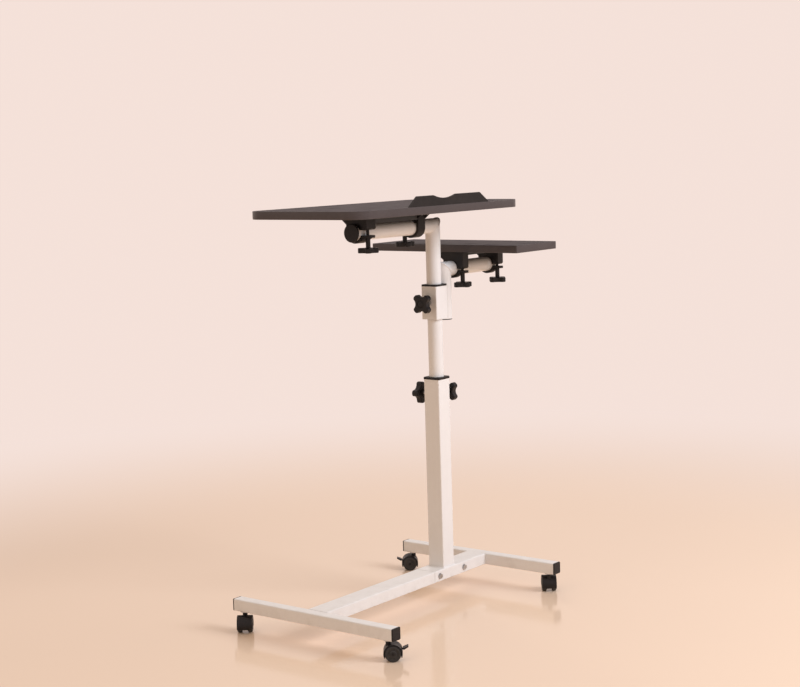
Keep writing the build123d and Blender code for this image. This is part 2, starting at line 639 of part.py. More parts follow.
def mast_foot():
    """Plug in the mast's lower end, its retaining pin, and the square glide that they carry."""
    with BuildPart() as plug:
        with BuildSketch(Plane(origin=(X_MAST, 0, Z_MAST_BOTTOM))):
            Circle(MAST_BORE_R - PLUG_FIT)
        extrude(amount=END_PLUG_DEPTH)
        with BuildSketch(Plane(origin=(X_MAST, 0, Z_MAST_BOTTOM))):
            Circle(RETAINER_R)
        extrude(amount=-(GLIDE_FLOOR + 2 * RETAINER_PLAY))
        with BuildSketch(Plane(origin=(X_MAST, 0, Z_MAST_BOTTOM - GLIDE_FLOOR - 2 * RETAINER_PLAY))):
            Circle(RETAINER_HEAD_R)
        extrude(amount=-RETAINER_HEAD)
    keep("mast_foot_plug", plug.part)
    side = POST_SIDE - 2 * POST_WALL - 2 * GLIDE_SLIDE_FIT
    floor = Z_MAST_BOTTOM - RETAINER_PLAY - GLIDE_FLOOR
    with BuildPart() as glide:
        with BuildSketch(Plane(origin=(X_MAST, 0, floor))):
            RectangleRounded(side, side, POST_CORNER - POST_WALL / 2)
        extrude(amount=GLIDE_HEIGHT)
        drill((X_MAST, 0, floor + GLIDE_FLOOR), (0, 0, 1), BUSH_BORE_R, GLIDE_HEIGHT)
        drill((X_MAST, 0, floor - 1), (0, 0, 1), RETAINER_R + RUNNING_FIT, GLIDE_FLOOR + 2)
    keep("mast_glide", glide.part)


# ---------------------------------------------------------------- sleeve and side arm

def sleeve(screw_planes):
    """Square sleeve on the mast, drilled for its clamping screw."""
    base = Plane(origin=(X_MAST, 0, SLEEVE_BOTTOM))
    with BuildPart() as tube:
        add(box_tube(base, SLEEVE_SIDE, SLEEVE_SIDE, POST_WALL, POST_CORNER, SLEEVE_HEIGHT))
        knob_holes(screw_planes, SCREW_R + SCREW_FIT)
    keep("sleeve", tube.part)


def sleeve_bushes():
    """Upper bush with a thin flange, and lower bush, each with a lip that holds the liner in."""
    inner = SLEEVE_SIDE - 2 * POST_WALL - 2 * PLUG_FIT
    liner_room = BUSH_BORE_R + LINER_WALL + LINER_TURN_FIT
    for name, mouth, into, flange in (("sleeve_top_bush", Z_SLEEVE_TOP, -1, SLEEVE_BUSH_FLANGE),
                                      ("sleeve_bottom_bush", SLEEVE_BOTTOM, 1, 0.0)):
        with BuildPart() as bush:
            with BuildSketch(Plane(origin=(X_MAST, 0, mouth))):
                RectangleRounded(inner, inner, POST_CORNER - POST_WALL / 2)
            extrude(amount=into * SLEEVE_BUSH_DEPTH)
            if flange:
                with BuildSketch(Plane(origin=(X_MAST, 0, mouth))):
                    RectangleRounded(SLEEVE_SIDE, SLEEVE_SIDE, POST_CORNER)
                extrude(amount=flange)
                fillet(bush.faces().sort_by(Axis.Z)[-1].edges(), flange * 0.35)
            drill((X_MAST, 0, mouth - into * (flange + 1)), (0, 0, into), MAST_R + 4 * RUNNING_FIT,
                  SLEEVE_BUSH_DEPTH + flange + 2)
            drill((X_MAST, 0, mouth + into * LINER_SEAT), (0, 0, into), liner_room, SLEEVE_BUSH_DEPTH)
        keep(name, bush.part)


def sleeve_liner():
    """Thin nylon tube between the mast and the sleeve."""
    bottom = SLEEVE_BOTTOM + LINER_SEAT + LINER_PLAY
    with BuildPart() as liner:
        with BuildSketch(Plane(origin=(X_MAST, 0, bottom))):
            Circle(BUSH_BORE_R + LINER_WALL)
            Circle(BUSH_BORE_R, mode=Mode.SUBTRACT)
        extrude(amount=SLEEVE_HEIGHT - 2 * LINER_SEAT - 2 * LINER_PLAY)
    keep("sleeve_liner", liner.part)


def side_arm():
    """Upright tube welded to the sleeve, and the side arm that meets it at a mitre."""
    mitre = Plane(origin=(X_SIDE_TUBE, 0, SIDE_ARM_HEIGHT), z_dir=(-1, 0, -1))
    bottom = SLEEVE_BOTTOM - SIDE_TUBE_DROP
    with BuildPart() as upright:
        with BuildSketch(Plane(origin=(X_SIDE_TUBE, 0, bottom))):
            Circle(MAST_R)
            Circle(MAST_BORE_R, mode=Mode.SUBTRACT)
        extrude(amount=SIDE_ARM_HEIGHT + MAST_R - bottom + 1)
        split(bisect_by=mitre, keep=Keep.TOP)
    keep("side_upright_tube", upright.part)
    arm_end = Plane(origin=(X_MAST + SIDE_ARM_REACH, 0, SIDE_ARM_HEIGHT), x_dir=(0, 1, 0), z_dir=(1, 0, 0))
    with BuildPart() as arm:
        with BuildSketch(arm_end):
            Circle(MAST_R)
            Circle(MAST_BORE_R, mode=Mode.SUBTRACT)
        extrude(amount=-(X_MAST + SIDE_ARM_REACH - X_SIDE_TUBE + MAST_R + 1))
        split(bisect_by=mitre, keep=Keep.BOTTOM)
    keep("side_arm_tube", arm.part)
    keep("side_arm_end_plug", round_plug(arm_end, MAST_BORE_R, MAST_R, END_PLUG_FLANGE))
    below = Plane(origin=(X_SIDE_TUBE, 0, bottom), x_dir=(1, 0, 0), z_dir=(0, 0, -1))
    keep("side_upright_plug", round_plug(below, MAST_BORE_R, MAST_R, FOOT_PLUG_FLANGE))


# ---------------------------------------------------------------- clamps

def clamp_frame(x, z, side):
    """Section plane of a clamp: local x toward its screw, local y up, local z along the tube."""
    return Plane(origin=(x, 0, z), x_dir=(0, side, 0), z_dir=(side, 0, 0))


def saddle(width, leg):
    """Upper half of a clamp, in section coordinates, extruded to its width.

    A flange is screwed to the board, a block seats the tube, one leg takes the clamp screw, and
    the jaw hooks into a slot between two ribs on the other side.
    """
    under_flange = BOARD_LIFT - SADDLE_FLANGE
    tongue_out = SEAT_R + STRAP / 2
    with BuildPart() as block:
        with BuildSketch():
            with BuildLine():
                Polyline((-SADDLE_BACK, BOARD_LIFT), (SADDLE_OUT, BOARD_LIFT), (SADDLE_OUT, leg + LEG_EDGE),
                         (SADDLE_OUT - LEG_EDGE, leg), (0, leg), (0, 0),
                         (-SADDLE_BLOCK_BACK, 0), (-SADDLE_BLOCK_BACK, under_flange),
                         (-SADDLE_BACK, under_flange), close=True)
            make_face()
            Circle(SEAT_R, mode=Mode.SUBTRACT)
            with Locations((-SEAT_R, 0)):
                Rectangle(2 * SEAT_R, 2 * SEAT_R * 0.55, mode=Mode.SUBTRACT)
        extrude(amount=width / 2, both=True)
        fillet(block.edges().filter_by(Axis.Z).group_by(Axis.X)[-1].sort_by(Axis.Y)[-1], 2)
        for end in (-1, 1):
            rib_centre = end * (width / 2 - STRAP_INSET / 2)
            with BuildSketch(Plane.XY.offset(rib_centre)):
                with BuildLine():
                    Polyline((-SADDLE_BACK, under_flange), (-SADDLE_BLOCK_BACK, under_flange),
                             (-SADDLE_BLOCK_BACK, BOARD_LIFT - RIB_FOOT - 4), (-SADDLE_BLOCK_BACK - 4,
                             BOARD_LIFT - RIB_FOOT - 4), close=True)
                make_face()
            extrude(amount=(STRAP_INSET - RIB_GAP) / 2, both=True)
        with BuildSketch():
            with Locations((-tongue_out, under_flange)):
                Rectangle(STRAP + 2 * HOOK_GAP, 2 * (HOOK_DEPTH + HOOK_GAP))
        extrude(amount=width / 2 - STRAP_INSET + RIB_GAP, both=True, mode=Mode.SUBTRACT)
        drill((CLAMP_SCREW_OUT, leg - 1, 0), (0, 1, 0), CLAMP_SCREW_R + CLAMP_SCREW_FIT,
              CLAMP_SCREW_ABOVE_LEG + 2)
        with BuildSketch(clamp_nut_plane(leg)):
            RegularPolygon(CLAMP_NUT_FLATS / 2 + CLAMP_NUT_PLAY, 6, major_radius=False)
        extrude(amount=CLAMP_NUT + 2 * CLAMP_NUT_PLAY, mode=Mode.SUBTRACT)
        for spot in saddle_screw_spots(width):
            drill((spot[0], 0, spot[1]), (0, 1, 0), WOOD_SCREW_R + 0.2, BOARD_LIFT + 1)
            drill((spot[0], 0, spot[1]), (0, 1, 0), WOOD_SCREW_HEAD_R + 0.3, spot[2] + WOOD_SCREW_HEAD)
    return block.part


def clamp_nut_plane(leg):
    """Plane on which a clamp's captive nut lies, in section coordinates."""
    return Plane(origin=(CLAMP_SCREW_OUT, leg + CLAMP_NUT_ABOVE_LEG, 0), x_dir=(1, 0, 0), z_dir=(0, 1, 0))


def saddle_screw_spots(width):
    """Wood screws of a saddle: place across, place along, and height of the head's underside."""
    edge = width / 2 - WOOD_SCREW_EDGE
    flange_head = BOARD_LIFT - SADDLE_FLANGE
    seat_head = SEAT_R + 1.0
    outer = -SADDLE_BACK + WOOD_SCREW_EDGE - 1.5
    return ((outer, -edge, flange_head), (outer, edge, flange_head), (0, 0, seat_head))


def wood_screw(spot):
    """Countersunk screw through a saddle into its board, in section coordinates."""
    base = Plane(origin=(spot[0], spot[2], spot[1]), x_dir=(1, 0, 0), z_dir=(0, 1, 0))
    length = BOARD_LIFT + WOOD_SCREW_BITE - spot[2]
    with BuildPart() as screw:
        with BuildSketch(base):
            Circle(WOOD_SCREW_HEAD_R)
        extrude(amount=WOOD_SCREW_HEAD)
        with BuildSketch(base):
            Circle(WOOD_SCREW_R)
        extrude(amount=length)
    return screw.part


def jaw(width):
    """Lower half of a clamp: a strap round the tube with a hooked tongue and a screw ear."""
    inner = SEAT_R
    outer = SEAT_R + STRAP
    tongue_top = BOARD_LIFT - SADDLE_FLANGE + HOOK_DEPTH
    ear_bottom = EAR_TOP - EAR_THICKNESS
    strap_width = width - 2 * STRAP_INSET
    inner_end = (math.sqrt(inner ** 2 - EAR_TOP ** 2), EAR_TOP)
    outer_end = (math.sqrt(outer ** 2 - ear_bottom ** 2), ear_bottom)
    with BuildPart() as strap:
        with BuildSketch():
            with BuildLine():
                Line((-outer, tongue_top), (-outer, 0))
                ThreePointArc((-outer, 0), (0, -outer), outer_end)
                Line(outer_end, (EAR_OUT, ear_bottom))
                Line((EAR_OUT, ear_bottom), (EAR_OUT, EAR_TOP))
                Line((EAR_OUT, EAR_TOP), inner_end)
                ThreePointArc(inner_end, (0, -inner), (-inner, 0))
                Line((-inner, 0), (-inner, tongue_top))
                Line((-inner, tongue_top), (-outer, tongue_top))
            make_face()
        extrude(amount=strap_width / 2, both=True)
        fillet(strap.edges().filter_by(Axis.Y).group_by(Axis.X)[-1], strap_width * 0.3)
        for end in (-1, 1):
            gusset = Plane.XY.offset(end * (strap_width - EAR_GUSSET) / 2)
            with BuildSketch(gusset):
                with BuildLine():
                    Polyline((outer_end[0] - 5, ear_bottom + 0.5),
                             (EAR_OUT - EAR_GUSSET_SHORT, ear_bottom + 0.5),
                             (outer_end[0] - 3, ear_bottom - EAR_GUSSET_DROP), close=True)
                make_face()
            extrude(amount=EAR_GUSSET / 2, both=True)
        drill((CLAMP_SCREW_OUT, EAR_TOP + 1, 0), (0, -1, 0), CLAMP_SCREW_R + EAR_HOLE_PLAY,
              EAR_THICKNESS + 2)
        with BuildSketch(Plane(origin=(CLAMP_SCREW_OUT, ear_bottom, 0), x_dir=(1, 0, 0), z_dir=(0, -1, 0))):
            Circle(CLAMP_STEM_R + EAR_RECESS)
        extrude(amount=EAR_GUSSET_DROP + 2, mode=Mode.SUBTRACT)
    return strap.part


def clamp_knob(turn, leg):
    """Small four-lobed knob with a moulded stem and its screw, head down, in section coordinates."""
    stem_top = EAR_TOP - EAR_THICKNESS - CLAMP_STEM_GAP
    outline = lobed_outline(CLAMP_KNOB_R, CLAMP_KNOB_SCALLOP_R, CLAMP_KNOB_WAIST_R,
                            CLAMP_KNOB_LOBE_FILLET, turn)
    with BuildPart() as knob:
        extrude(outline, amount=CLAMP_KNOB_THICKNESS)
        fillet(knob.faces().sort_by(Axis.Z)[-1].edges(), CLAMP_KNOB_EDGE)
        fillet(knob.faces().sort_by(Axis.Z)[0].edges(), CLAMP_KNOB_EDGE)
        with BuildSketch():
            Circle(CLAMP_STEM_R)
        extrude(amount=-CLAMP_STEM)
        with BuildSketch():
            Circle(CLAMP_SCREW_R)
        extrude(amount=-(CLAMP_STEM + leg + CLAMP_SCREW_ABOVE_LEG - stem_top))
    seat = Plane(origin=(CLAMP_SCREW_OUT, stem_top - CLAMP_STEM, 0), x_dir=(1, 0, 0), z_dir=(0, -1, 0))
    return seat.from_local_coords(knob.part)


def clamp_set(prefix, places, sides, width, leg, z, turns):
    """Saddles, jaws, fasteners and knobs of the clamps under one board."""
    frames = [clamp_frame(X_MAST + x, z, side) for x, side in zip(places, sides)]
    keep(f"{prefix}_saddles", *[f.from_local_coords(saddle(width, leg)) for f in frames])
    keep(f"{prefix}_jaws", *[f.from_local_coords(jaw(width)) for f in frames])
    fasteners = []
    for f in frames:
        nut = hexagon_nut(clamp_nut_plane(leg), CLAMP_NUT_FLATS, CLAMP_NUT, CLAMP_SCREW_R + CLAMP_SCREW_FIT)
        fasteners.append(f.from_local_coords(nut))
        fasteners.extend(f.from_local_coords(wood_screw(spot)) for spot in saddle_screw_spots(width))
    keep(f"{prefix}_clamp_fasteners", *fasteners)
    for number, (f, turn) in enumerate(zip(frames, turns), start=1):
        keep(f"{prefix}_clamp_knob_{number}", f.from_local_coords(clamp_knob(turn, leg)))


def rail(x_start, x_end, z, depth, name):
    """Folded steel channel under a board, open side down, between its two clamps."""
    top = z + BOARD_LIFT
    section = Plane(origin=(x_start, 0, top), x_dir=(0, 1, 0), z_dir=(1, 0, 0))
    half = RAIL_WIDTH / 2
    with BuildPart() as channel:
        with BuildSketch(section) as profile:
            with BuildLine():
                Polyline((-half, -depth), (-half, 0), (half, 0), (half, -depth), (half - RAIL_GAUGE, -depth),
                         (half - RAIL_GAUGE, -RAIL_GAUGE), (-half + RAIL_GAUGE, -RAIL_GAUGE),
                         (-half + RAIL_GAUGE, -depth), close=True)
            make_face()
            fillet(profile.vertices().group_by(Axis.Y)[-1], RAIL_BEND)
        extrude(amount=x_end - x_start)
    keep(name, channel.part)


# ---------------------------------------------------------------- boards

def board(name, centre, length, depth, corner, bottom, clamps, sides, width, lip_centre=None):
    """Laminated board with pilot holes and, where a lip stands, its rebate; and its edge banding."""
    base = Plane(origin=(centre[0], centre[1], bottom))
    with BuildPart() as panel:
        with BuildSketch(base):
            RectangleRounded(length - 2 * BAND, depth - 2 * BAND, corner - BAND)
        extrude(amount=BOARD_THICKNESS)
        for x, side in zip(clamps, sides):
            for spot in saddle_screw_spots(width):
                drill((X_MAST + x + side * spot[1], side * spot[0], bottom - 1), (0, 0, 1), WOOD_SCREW_R,
                      WOOD_SCREW_BITE + 1)
        if lip_centre:
            front = BAND - depth / 2
            with BuildSketch(Plane(origin=(lip_centre, front + LIP_FOOT / 2, bottom + BOARD_THICKNESS))):
                Rectangle(LIP_LENGTH, LIP_FOOT)
            extrude(amount=-LIP_FOOT_THICKNESS, mode=Mode.SUBTRACT)
    keep(name, panel.part)
    with BuildPart() as band:
        with BuildSketch(base):
            RectangleRounded(length, depth, corner)
            RectangleRounded(length - 2 * BAND, depth - 2 * BAND, corner - BAND, mode=Mode.SUBTRACT)
        extrude(amount=BOARD_THICKNESS)
    keep(f"{name}_edge_band", band.part)


def stop_lip():
    """Ledge along the main board's user edge, with slanted ends and a finger scallop."""
    top = ARM_HEIGHT + BOARD_LIFT + BOARD_THICKNESS
    front = -MAIN_DEPTH / 2 + BAND
    face = Plane(origin=(X_LIP, front, top), x_dir=(1, 0, 0), z_dir=(0, -1, 0))
    half = LIP_LENGTH / 2
    left, right = LIP_RAMP_LEFT - half, half - LIP_RAMP_RIGHT
    notch_left, notch_right = -LIP_SHIFT - LIP_NOTCH / 2, -LIP_SHIFT + LIP_NOTCH / 2
    with BuildPart() as lip:
        with BuildSketch(face):
            with BuildLine():
                Line((-half, 0), (half, 0))
                Line((half, 0), (right, LIP_HEIGHT))
                Line((right, LIP_HEIGHT), (notch_right, LIP_HEIGHT))
                ThreePointArc((notch_right, LIP_HEIGHT), (-LIP_SHIFT, LIP_HEIGHT - LIP_NOTCH_DEPTH),
                              (notch_left, LIP_HEIGHT))
                Line((notch_left, LIP_HEIGHT), (left, LIP_HEIGHT))
                Line((left, LIP_HEIGHT), (-half, 0))
            make_face()
        extrude(amount=-LIP_WALL)
        with BuildSketch(Plane(origin=(X_LIP, front + LIP_FOOT / 2, top))):
            Rectangle(LIP_LENGTH, LIP_FOOT)
        extrude(amount=-LIP_FOOT_THICKNESS)
        fillet(lip.edges().filter_by(Axis.X).group_by(Axis.Z)[-1], LIP_EDGE)
    keep("stop_lip", lip.part)


# ---------------------------------------------------------------- the whole stand

BOLTS = (X_MAST - BOLT_BACK, X_MAST + BOLT_AHEAD)
POST_SCREWS = (side_knob_plane(0, 1, Z_POST_KNOB, POST_SIDE, 0),
               side_knob_plane(1, 0, Z_POST_KNOB, POST_SIDE, 45))
SLEEVE_SCREWS = (side_knob_plane(-1, 0, Z_SLEEVE_KNOB, SLEEVE_SIDE, 45),)

foot(X_NEAR_FOOT, "near_foot")
foot(X_FAR_FOOT, "far_foot")
foot_caps()
beam_half(X_NEAR_FOOT + FOOT_SIDE / 2, X_SEAM - SEAM_GAP / 2, (), "front_beam")
beam_half(X_SEAM + SEAM_GAP / 2, X_FAR_FOOT - FOOT_SIDE / 2, BOLTS, "rear_beam")
beam_spigot(BOLTS)
beam_bolts(BOLTS)
caster_stems()
for caster in CASTER_TURNS:
    caster_body(caster)
    caster_wheels(caster)
for caster in BRAKED:
    brake_lever(caster)

post(POST_SCREWS)
post_bush(POST_SCREWS)
weld_nuts(POST_SCREWS, "post_weld_nuts")
clamping_knob(POST_SCREWS[0], POST_SIDE / 2 - MAST_R - SCREW_TIP_GAP, "post_knob_back")
clamping_knob(POST_SCREWS[1], POST_SIDE / 2 - MAST_R - SCREW_TIP_GAP, "post_knob_side")
mast_and_arm()
mast_foot()

LINER_R = BUSH_BORE_R + LINER_WALL
sleeve(SLEEVE_SCREWS)
sleeve_bushes()
sleeve_liner()
weld_nuts(SLEEVE_SCREWS, "sleeve_weld_nut")
clamping_knob(SLEEVE_SCREWS[0], SLEEVE_SIDE / 2 - LINER_R - SCREW_TIP_GAP, "sleeve_knob")
side_arm()

clamp_set("main", MAIN_CLAMPS, MAIN_CLAMP_SIDES, MAIN_CLAMP_WIDTH, MAIN_LEG, ARM_HEIGHT, (52, 28))
clamp_set("side", SIDE_CLAMPS, SIDE_CLAMP_SIDES, SIDE_CLAMP_WIDTH, SIDE_LEG, SIDE_ARM_HEIGHT, (20, 8))
rail(X_MAST + MAIN_CLAMPS[0] + MAIN_CLAMP_WIDTH / 2, X_MAST + MAIN_CLAMPS[1] - MAIN_CLAMP_WIDTH / 2,
     ARM_HEIGHT, MAIN_RAIL_DEPTH, "main_rail")
rail(X_MAST + SIDE_CLAMPS[0] + SIDE_CLAMP_WIDTH / 2, X_MAST + SIDE_CLAMPS[1] - SIDE_CLAMP_WIDTH / 2,
     SIDE_ARM_HEIGHT, SIDE_RAIL_DEPTH, "side_rail")
board("main_board", (X_MAST + MAIN_CENTRE, 0), MAIN_LENGTH, MAIN_DEPTH, MAIN_CORNER,
      ARM_HEIGHT + BOARD_LIFT, MAIN_CLAMPS, MAIN_CLAMP_SIDES, MAIN_CLAMP_WIDTH, X_LIP)
stop_lip()
board("side_shelf", (X_MAST + SHELF_START + SHELF_WIDTH / 2, SHELF_SHIFT), SHELF_WIDTH, SHELF_LENGTH,
      SHELF_CORNER, SIDE_ARM_HEIGHT + BOARD_LIFT, SIDE_CLAMPS, SIDE_CLAMP_SIDES, SIDE_CLAMP_WIDTH)
write_all()
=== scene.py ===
"""Studio scene of a rolling laptop stand: frame, casters, mast, sleeve, boards and clamps."""

import json
import logging
import math
from dataclasses import dataclass, field
from enum import Enum
from typing import Callable, Iterable, Mapping, Sequence, Union

import bmesh
import bpy
from mathutils import Matrix, Vector


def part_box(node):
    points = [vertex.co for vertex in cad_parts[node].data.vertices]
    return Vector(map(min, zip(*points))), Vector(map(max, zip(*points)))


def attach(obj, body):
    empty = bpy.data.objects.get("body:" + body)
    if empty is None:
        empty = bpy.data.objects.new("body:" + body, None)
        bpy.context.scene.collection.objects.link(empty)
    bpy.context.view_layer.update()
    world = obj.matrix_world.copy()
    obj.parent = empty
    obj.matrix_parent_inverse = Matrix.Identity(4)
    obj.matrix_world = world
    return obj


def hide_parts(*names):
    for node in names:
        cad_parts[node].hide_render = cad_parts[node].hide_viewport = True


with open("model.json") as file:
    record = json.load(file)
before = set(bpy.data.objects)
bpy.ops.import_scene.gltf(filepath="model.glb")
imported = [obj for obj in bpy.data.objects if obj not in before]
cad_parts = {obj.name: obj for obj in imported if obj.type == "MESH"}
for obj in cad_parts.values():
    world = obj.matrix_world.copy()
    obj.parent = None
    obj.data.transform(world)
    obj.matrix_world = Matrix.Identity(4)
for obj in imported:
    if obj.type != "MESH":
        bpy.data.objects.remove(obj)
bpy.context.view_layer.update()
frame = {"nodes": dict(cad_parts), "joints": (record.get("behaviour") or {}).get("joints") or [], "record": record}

LOG = logging.getLogger("laptop_stand")
Colour = tuple[float, float, float]
Point = tuple[float, float, float]

# Sockets of the Mix node when it mixes colours.
MIX_FACTOR, MIX_FIRST, MIX_SECOND, MIX_RESULT = 0, 6, 7, 2
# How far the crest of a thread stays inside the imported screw.
THREAD_PLAY = 0.00004


class Slot(Enum):
    """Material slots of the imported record."""

    WHITE_STEEL = "white_steel"
    PLATED_STEEL = "plated_steel"
    BLACK_STEEL = "black_steel"
    BLACK_PLASTIC = "black_plastic"
    WHEEL_NYLON = "wheel_nylon"
    PALE_NYLON = "pale_nylon"
    BOARD_LAMINATE = "board_laminate"
    BOARD_EDGE = "board_edge"


class Corner(Enum):
    """The four casters of the base."""

    NEAR_LEFT = "near_left"
    NEAR_RIGHT = "near_right"
    FAR_LEFT = "far_left"
    FAR_RIGHT = "far_right"


# ---------------------------------------------------------------- shader kit


class Wire:
    """An output socket that takes part in arithmetic."""

    def __init__(self, sheet: "ShaderSheet", socket: bpy.types.NodeSocket) -> None:
        """Hold a socket and the sheet that its nodes belong to."""
        self.sheet = sheet
        self.socket = socket

    def _math(self, operation: str, first: "Operand", second: "Operand") -> "Wire":
        """Add one Math node and return its result."""
        return self.sheet.node("ShaderNodeMath", {"operation": operation}, {0: first, 1: second})

    def __add__(self, other: "Operand") -> "Wire":
        """Sum."""
        return self._math("ADD", self, other)

    __radd__ = __add__

    def __mul__(self, other: "Operand") -> "Wire":
        """Product."""
        return self._math("MULTIPLY", self, other)

    __rmul__ = __mul__

    def __sub__(self, other: "Operand") -> "Wire":
        """Difference."""
        return self._math("SUBTRACT", self, other)

    def __rsub__(self, other: "Operand") -> "Wire":
        """Difference from a number, so that 1 - mask works."""
        return self._math("SUBTRACT", other, self)

    def at_least(self, other: "Operand") -> "Wire":
        """The larger of two values."""
        return self._math("MAXIMUM", self, other)

    def fade(self, low: float, high: float) -> "Wire":
        """Smooth step from 0 at low to 1 at high.

        Args:
            low: value at which the result is 0.
            high: value at which the result is 1; it may lie below low.

        Returns:
            The stepped value.
        """
        return self.sheet.node("ShaderNodeMapRange", {"interpolation_type": "SMOOTHSTEP"},
                               {"Value": self, "From Min": low, "From Max": high})


Operand = Union[Wire, float]


class ShaderSheet:
    """The node tree of one material or world."""

    def __init__(self, owner: bpy.types.Material | bpy.types.World) -> None:
        """Empty the owner's node tree."""
        self.owner = owner
        owner.use_nodes = True
        self.tree = owner.node_tree
        self.tree.nodes.clear()

    @classmethod
    def of_material(cls, name: str) -> "ShaderSheet":
        """Start an empty material of that name."""
        return cls(bpy.data.materials.new(name))

    def node(self, kind: str, settings: Mapping[str, object] | None = None,
             inputs: Mapping[int | str, object] | None = None, output: int | str = 0) -> Wire:
        """Add a node.

        Args:
            kind: Blender's type name of the node.
            settings: attributes set first; "stops" gives a ramp's positions and colours.
            inputs: values or wires for the sockets, by name or number.
            output: the socket that the result stands for.

        Returns:
            The chosen output as a wire.
        """
        made = self.tree.nodes.new(kind)
        for key, value in (settings or {}).items():
            if key == "stops":
                while len(made.color_ramp.elements) < len(value):
                    made.color_ramp.elements.new(0.5)
                for element, (place, colour) in zip(made.color_ramp.elements, value):
                    element.position = place
                    element.color = (*colour, 1.0)
            else:
                setattr(made, key, value)
        for key, value in (inputs or {}).items():
            if isinstance(value, Wire):
                self.tree.links.new(value.socket, made.inputs[key])
            else:
                made.inputs[key].default_value = value
        return Wire(self, made.outputs[output])

    def place(self) -> Wire:
        """Position on the piece, which stays with it when it moves."""
        return self.node("ShaderNodeTexCoord", output="Object")

    def stretched(self, scale: Point) -> Wire:
        """Position on the piece with each axis scaled."""
        return self.node("ShaderNodeMapping", inputs={"Vector": self.place(), "Scale": scale})

    def axis(self, vector: Wire, name: str) -> Wire:
        """One component of a vector."""
        return self.node("ShaderNodeSeparateXYZ", inputs={"Vector": vector}, output=name)

    def noise(self, scale: float, detail: float = 3.0, roughness: float = 0.5,
              vector: Wire | None = None) -> Wire:
        """Fractal noise from 0 to 1 with a feature size of 1 / scale metres."""
        return self.node("ShaderNodeTexNoise", inputs={
            "Vector": vector or self.place(), "Scale": scale, "Detail": detail,
            "Roughness": roughness})

    def upward(self) -> Wire:
        """1 where a face looks up, 0 where it is upright or looks down."""
        normal = self.node("ShaderNodeNewGeometry", output="Normal")
        return self.axis(normal, "Z").fade(0.3, 0.95)

    def blend(self, factor: Wire, first: "Colour | Wire", second: "Colour | Wire") -> Wire:
        """Mix two colours.

        Args:
            factor: 0 gives first, 1 gives second.
            first: colour or wire.
            second: colour or wire.

        Returns:
            The mixed colour.
        """
        pair = [value if isinstance(value, Wire) else (*value, 1.0) for value in (first, second)]
        return self.node("ShaderNodeMix", {"data_type": "RGBA"},
                         {MIX_FACTOR: factor, MIX_FIRST: pair[0], MIX_SECOND: pair[1]}, MIX_RESULT)

    def rounded(self, radius: float) -> Wire:
        """Normal that runs round a sharp edge as a small radius does."""
        return self.node("ShaderNodeBevel", {"samples": 4}, {"Radius": radius})

    def bump(self, height: Wire, distance: float, strength: float = 1.0,
             base: Wire | None = None) -> Wire:
        """Normal disturbed by a height field.

        Args:
            height: height field.
            distance: metres for a height of 1.
            strength: how much of it shows.
            base: normal to start from.

        Returns:
            The disturbed normal.
        """
        inputs: dict[int | str, object] = {
            "Height": height, "Distance": distance, "Strength": strength}
        if base is not None:
            inputs["Normal"] = base
        return self.node("ShaderNodeBump", inputs=inputs)

    def finish(self, **sockets: object) -> bpy.types.Material:
        """Close the sheet with a Principled shader.

        Args:
            sockets: values by the shader's socket names, with _ for a space.

        Returns:
            The material.
        """
        shader = self.node("ShaderNodeBsdfPrincipled",
                           inputs={key.replace("_", " "): value for key, value in sockets.items()})
        self.node_output(shader)
        return self.owner

    def node_output(self, surface: Wire, kind: str = "ShaderNodeOutputMaterial") -> None:
        """Connect a shader to the tree's output."""
        made = self.tree.nodes.new(kind)
        self.tree.links.new(surface.socket, made.inputs["Surface"])


# ---------------------------------------------------------------- finishes


@dataclass(frozen=True)
class PowderCoat:
    """Satin powder coat: orange peel, faint mottling, and floor dust low on the frame."""

    name: str
    colour: Colour
    shade: Colour
    dust: Colour = (0.50, 0.45, 0.40)
    dust_height: float = 0.070
    roughness: float = 0.36
    cloud_scale: float = 9.0
    mottle_scale: float = 55.0
    speck_scale: float = 420.0
    film_scale: float = 38.0
    scuff_stretch: Point = (260.0, 260.0, 40.0)
    peel_scale: float = 650.0
    peel_depth: float = 0.00005
    edge_radius: float = 0.0006

    def make(self) -> bpy.types.Material:
        """Build the material."""
        sheet = ShaderSheet.of_material(self.name)
        cloud = sheet.noise(self.cloud_scale, 4.0, 0.55)
        mottle = sheet.noise(self.mottle_scale, 3.0, 0.6)
        uneven = (cloud * 0.65 + mottle * 0.35).fade(0.35, 0.7)
        base = sheet.blend(uneven, self.colour, self.shade)
        height = sheet.axis(sheet.place(), "Z")
        low = height.fade(self.dust_height + 0.02, self.dust_height - 0.03)
        specks = sheet.noise(self.speck_scale, 5.0, 0.7).fade(0.56, 0.72)
        film = sheet.noise(self.film_scale, 4.0, 0.62).fade(0.42, 0.72)
        dirt = low * (film * 0.16 + specks * 0.20) + sheet.upward() * film * 0.04
        scuff = sheet.noise(1.0, 3.0, 0.5, sheet.stretched(self.scuff_stretch)).fade(0.74, 0.80)
        base = sheet.blend(dirt, base, self.dust)
        base = sheet.blend(scuff * 0.10, base, self.dust)
        peel = sheet.noise(self.peel_scale, 2.0, 0.45)
        rough = self.roughness + (mottle - 0.5) * 0.10 + dirt * 0.4 + scuff * 0.12
        normal = sheet.bump(peel, self.peel_depth, 0.7, sheet.rounded(self.edge_radius))
        return sheet.finish(Base_Color=base, Roughness=rough, Normal=normal, Coat_Weight=0.15,
                            Coat_Roughness=0.25, Specular_IOR_Level=0.45)


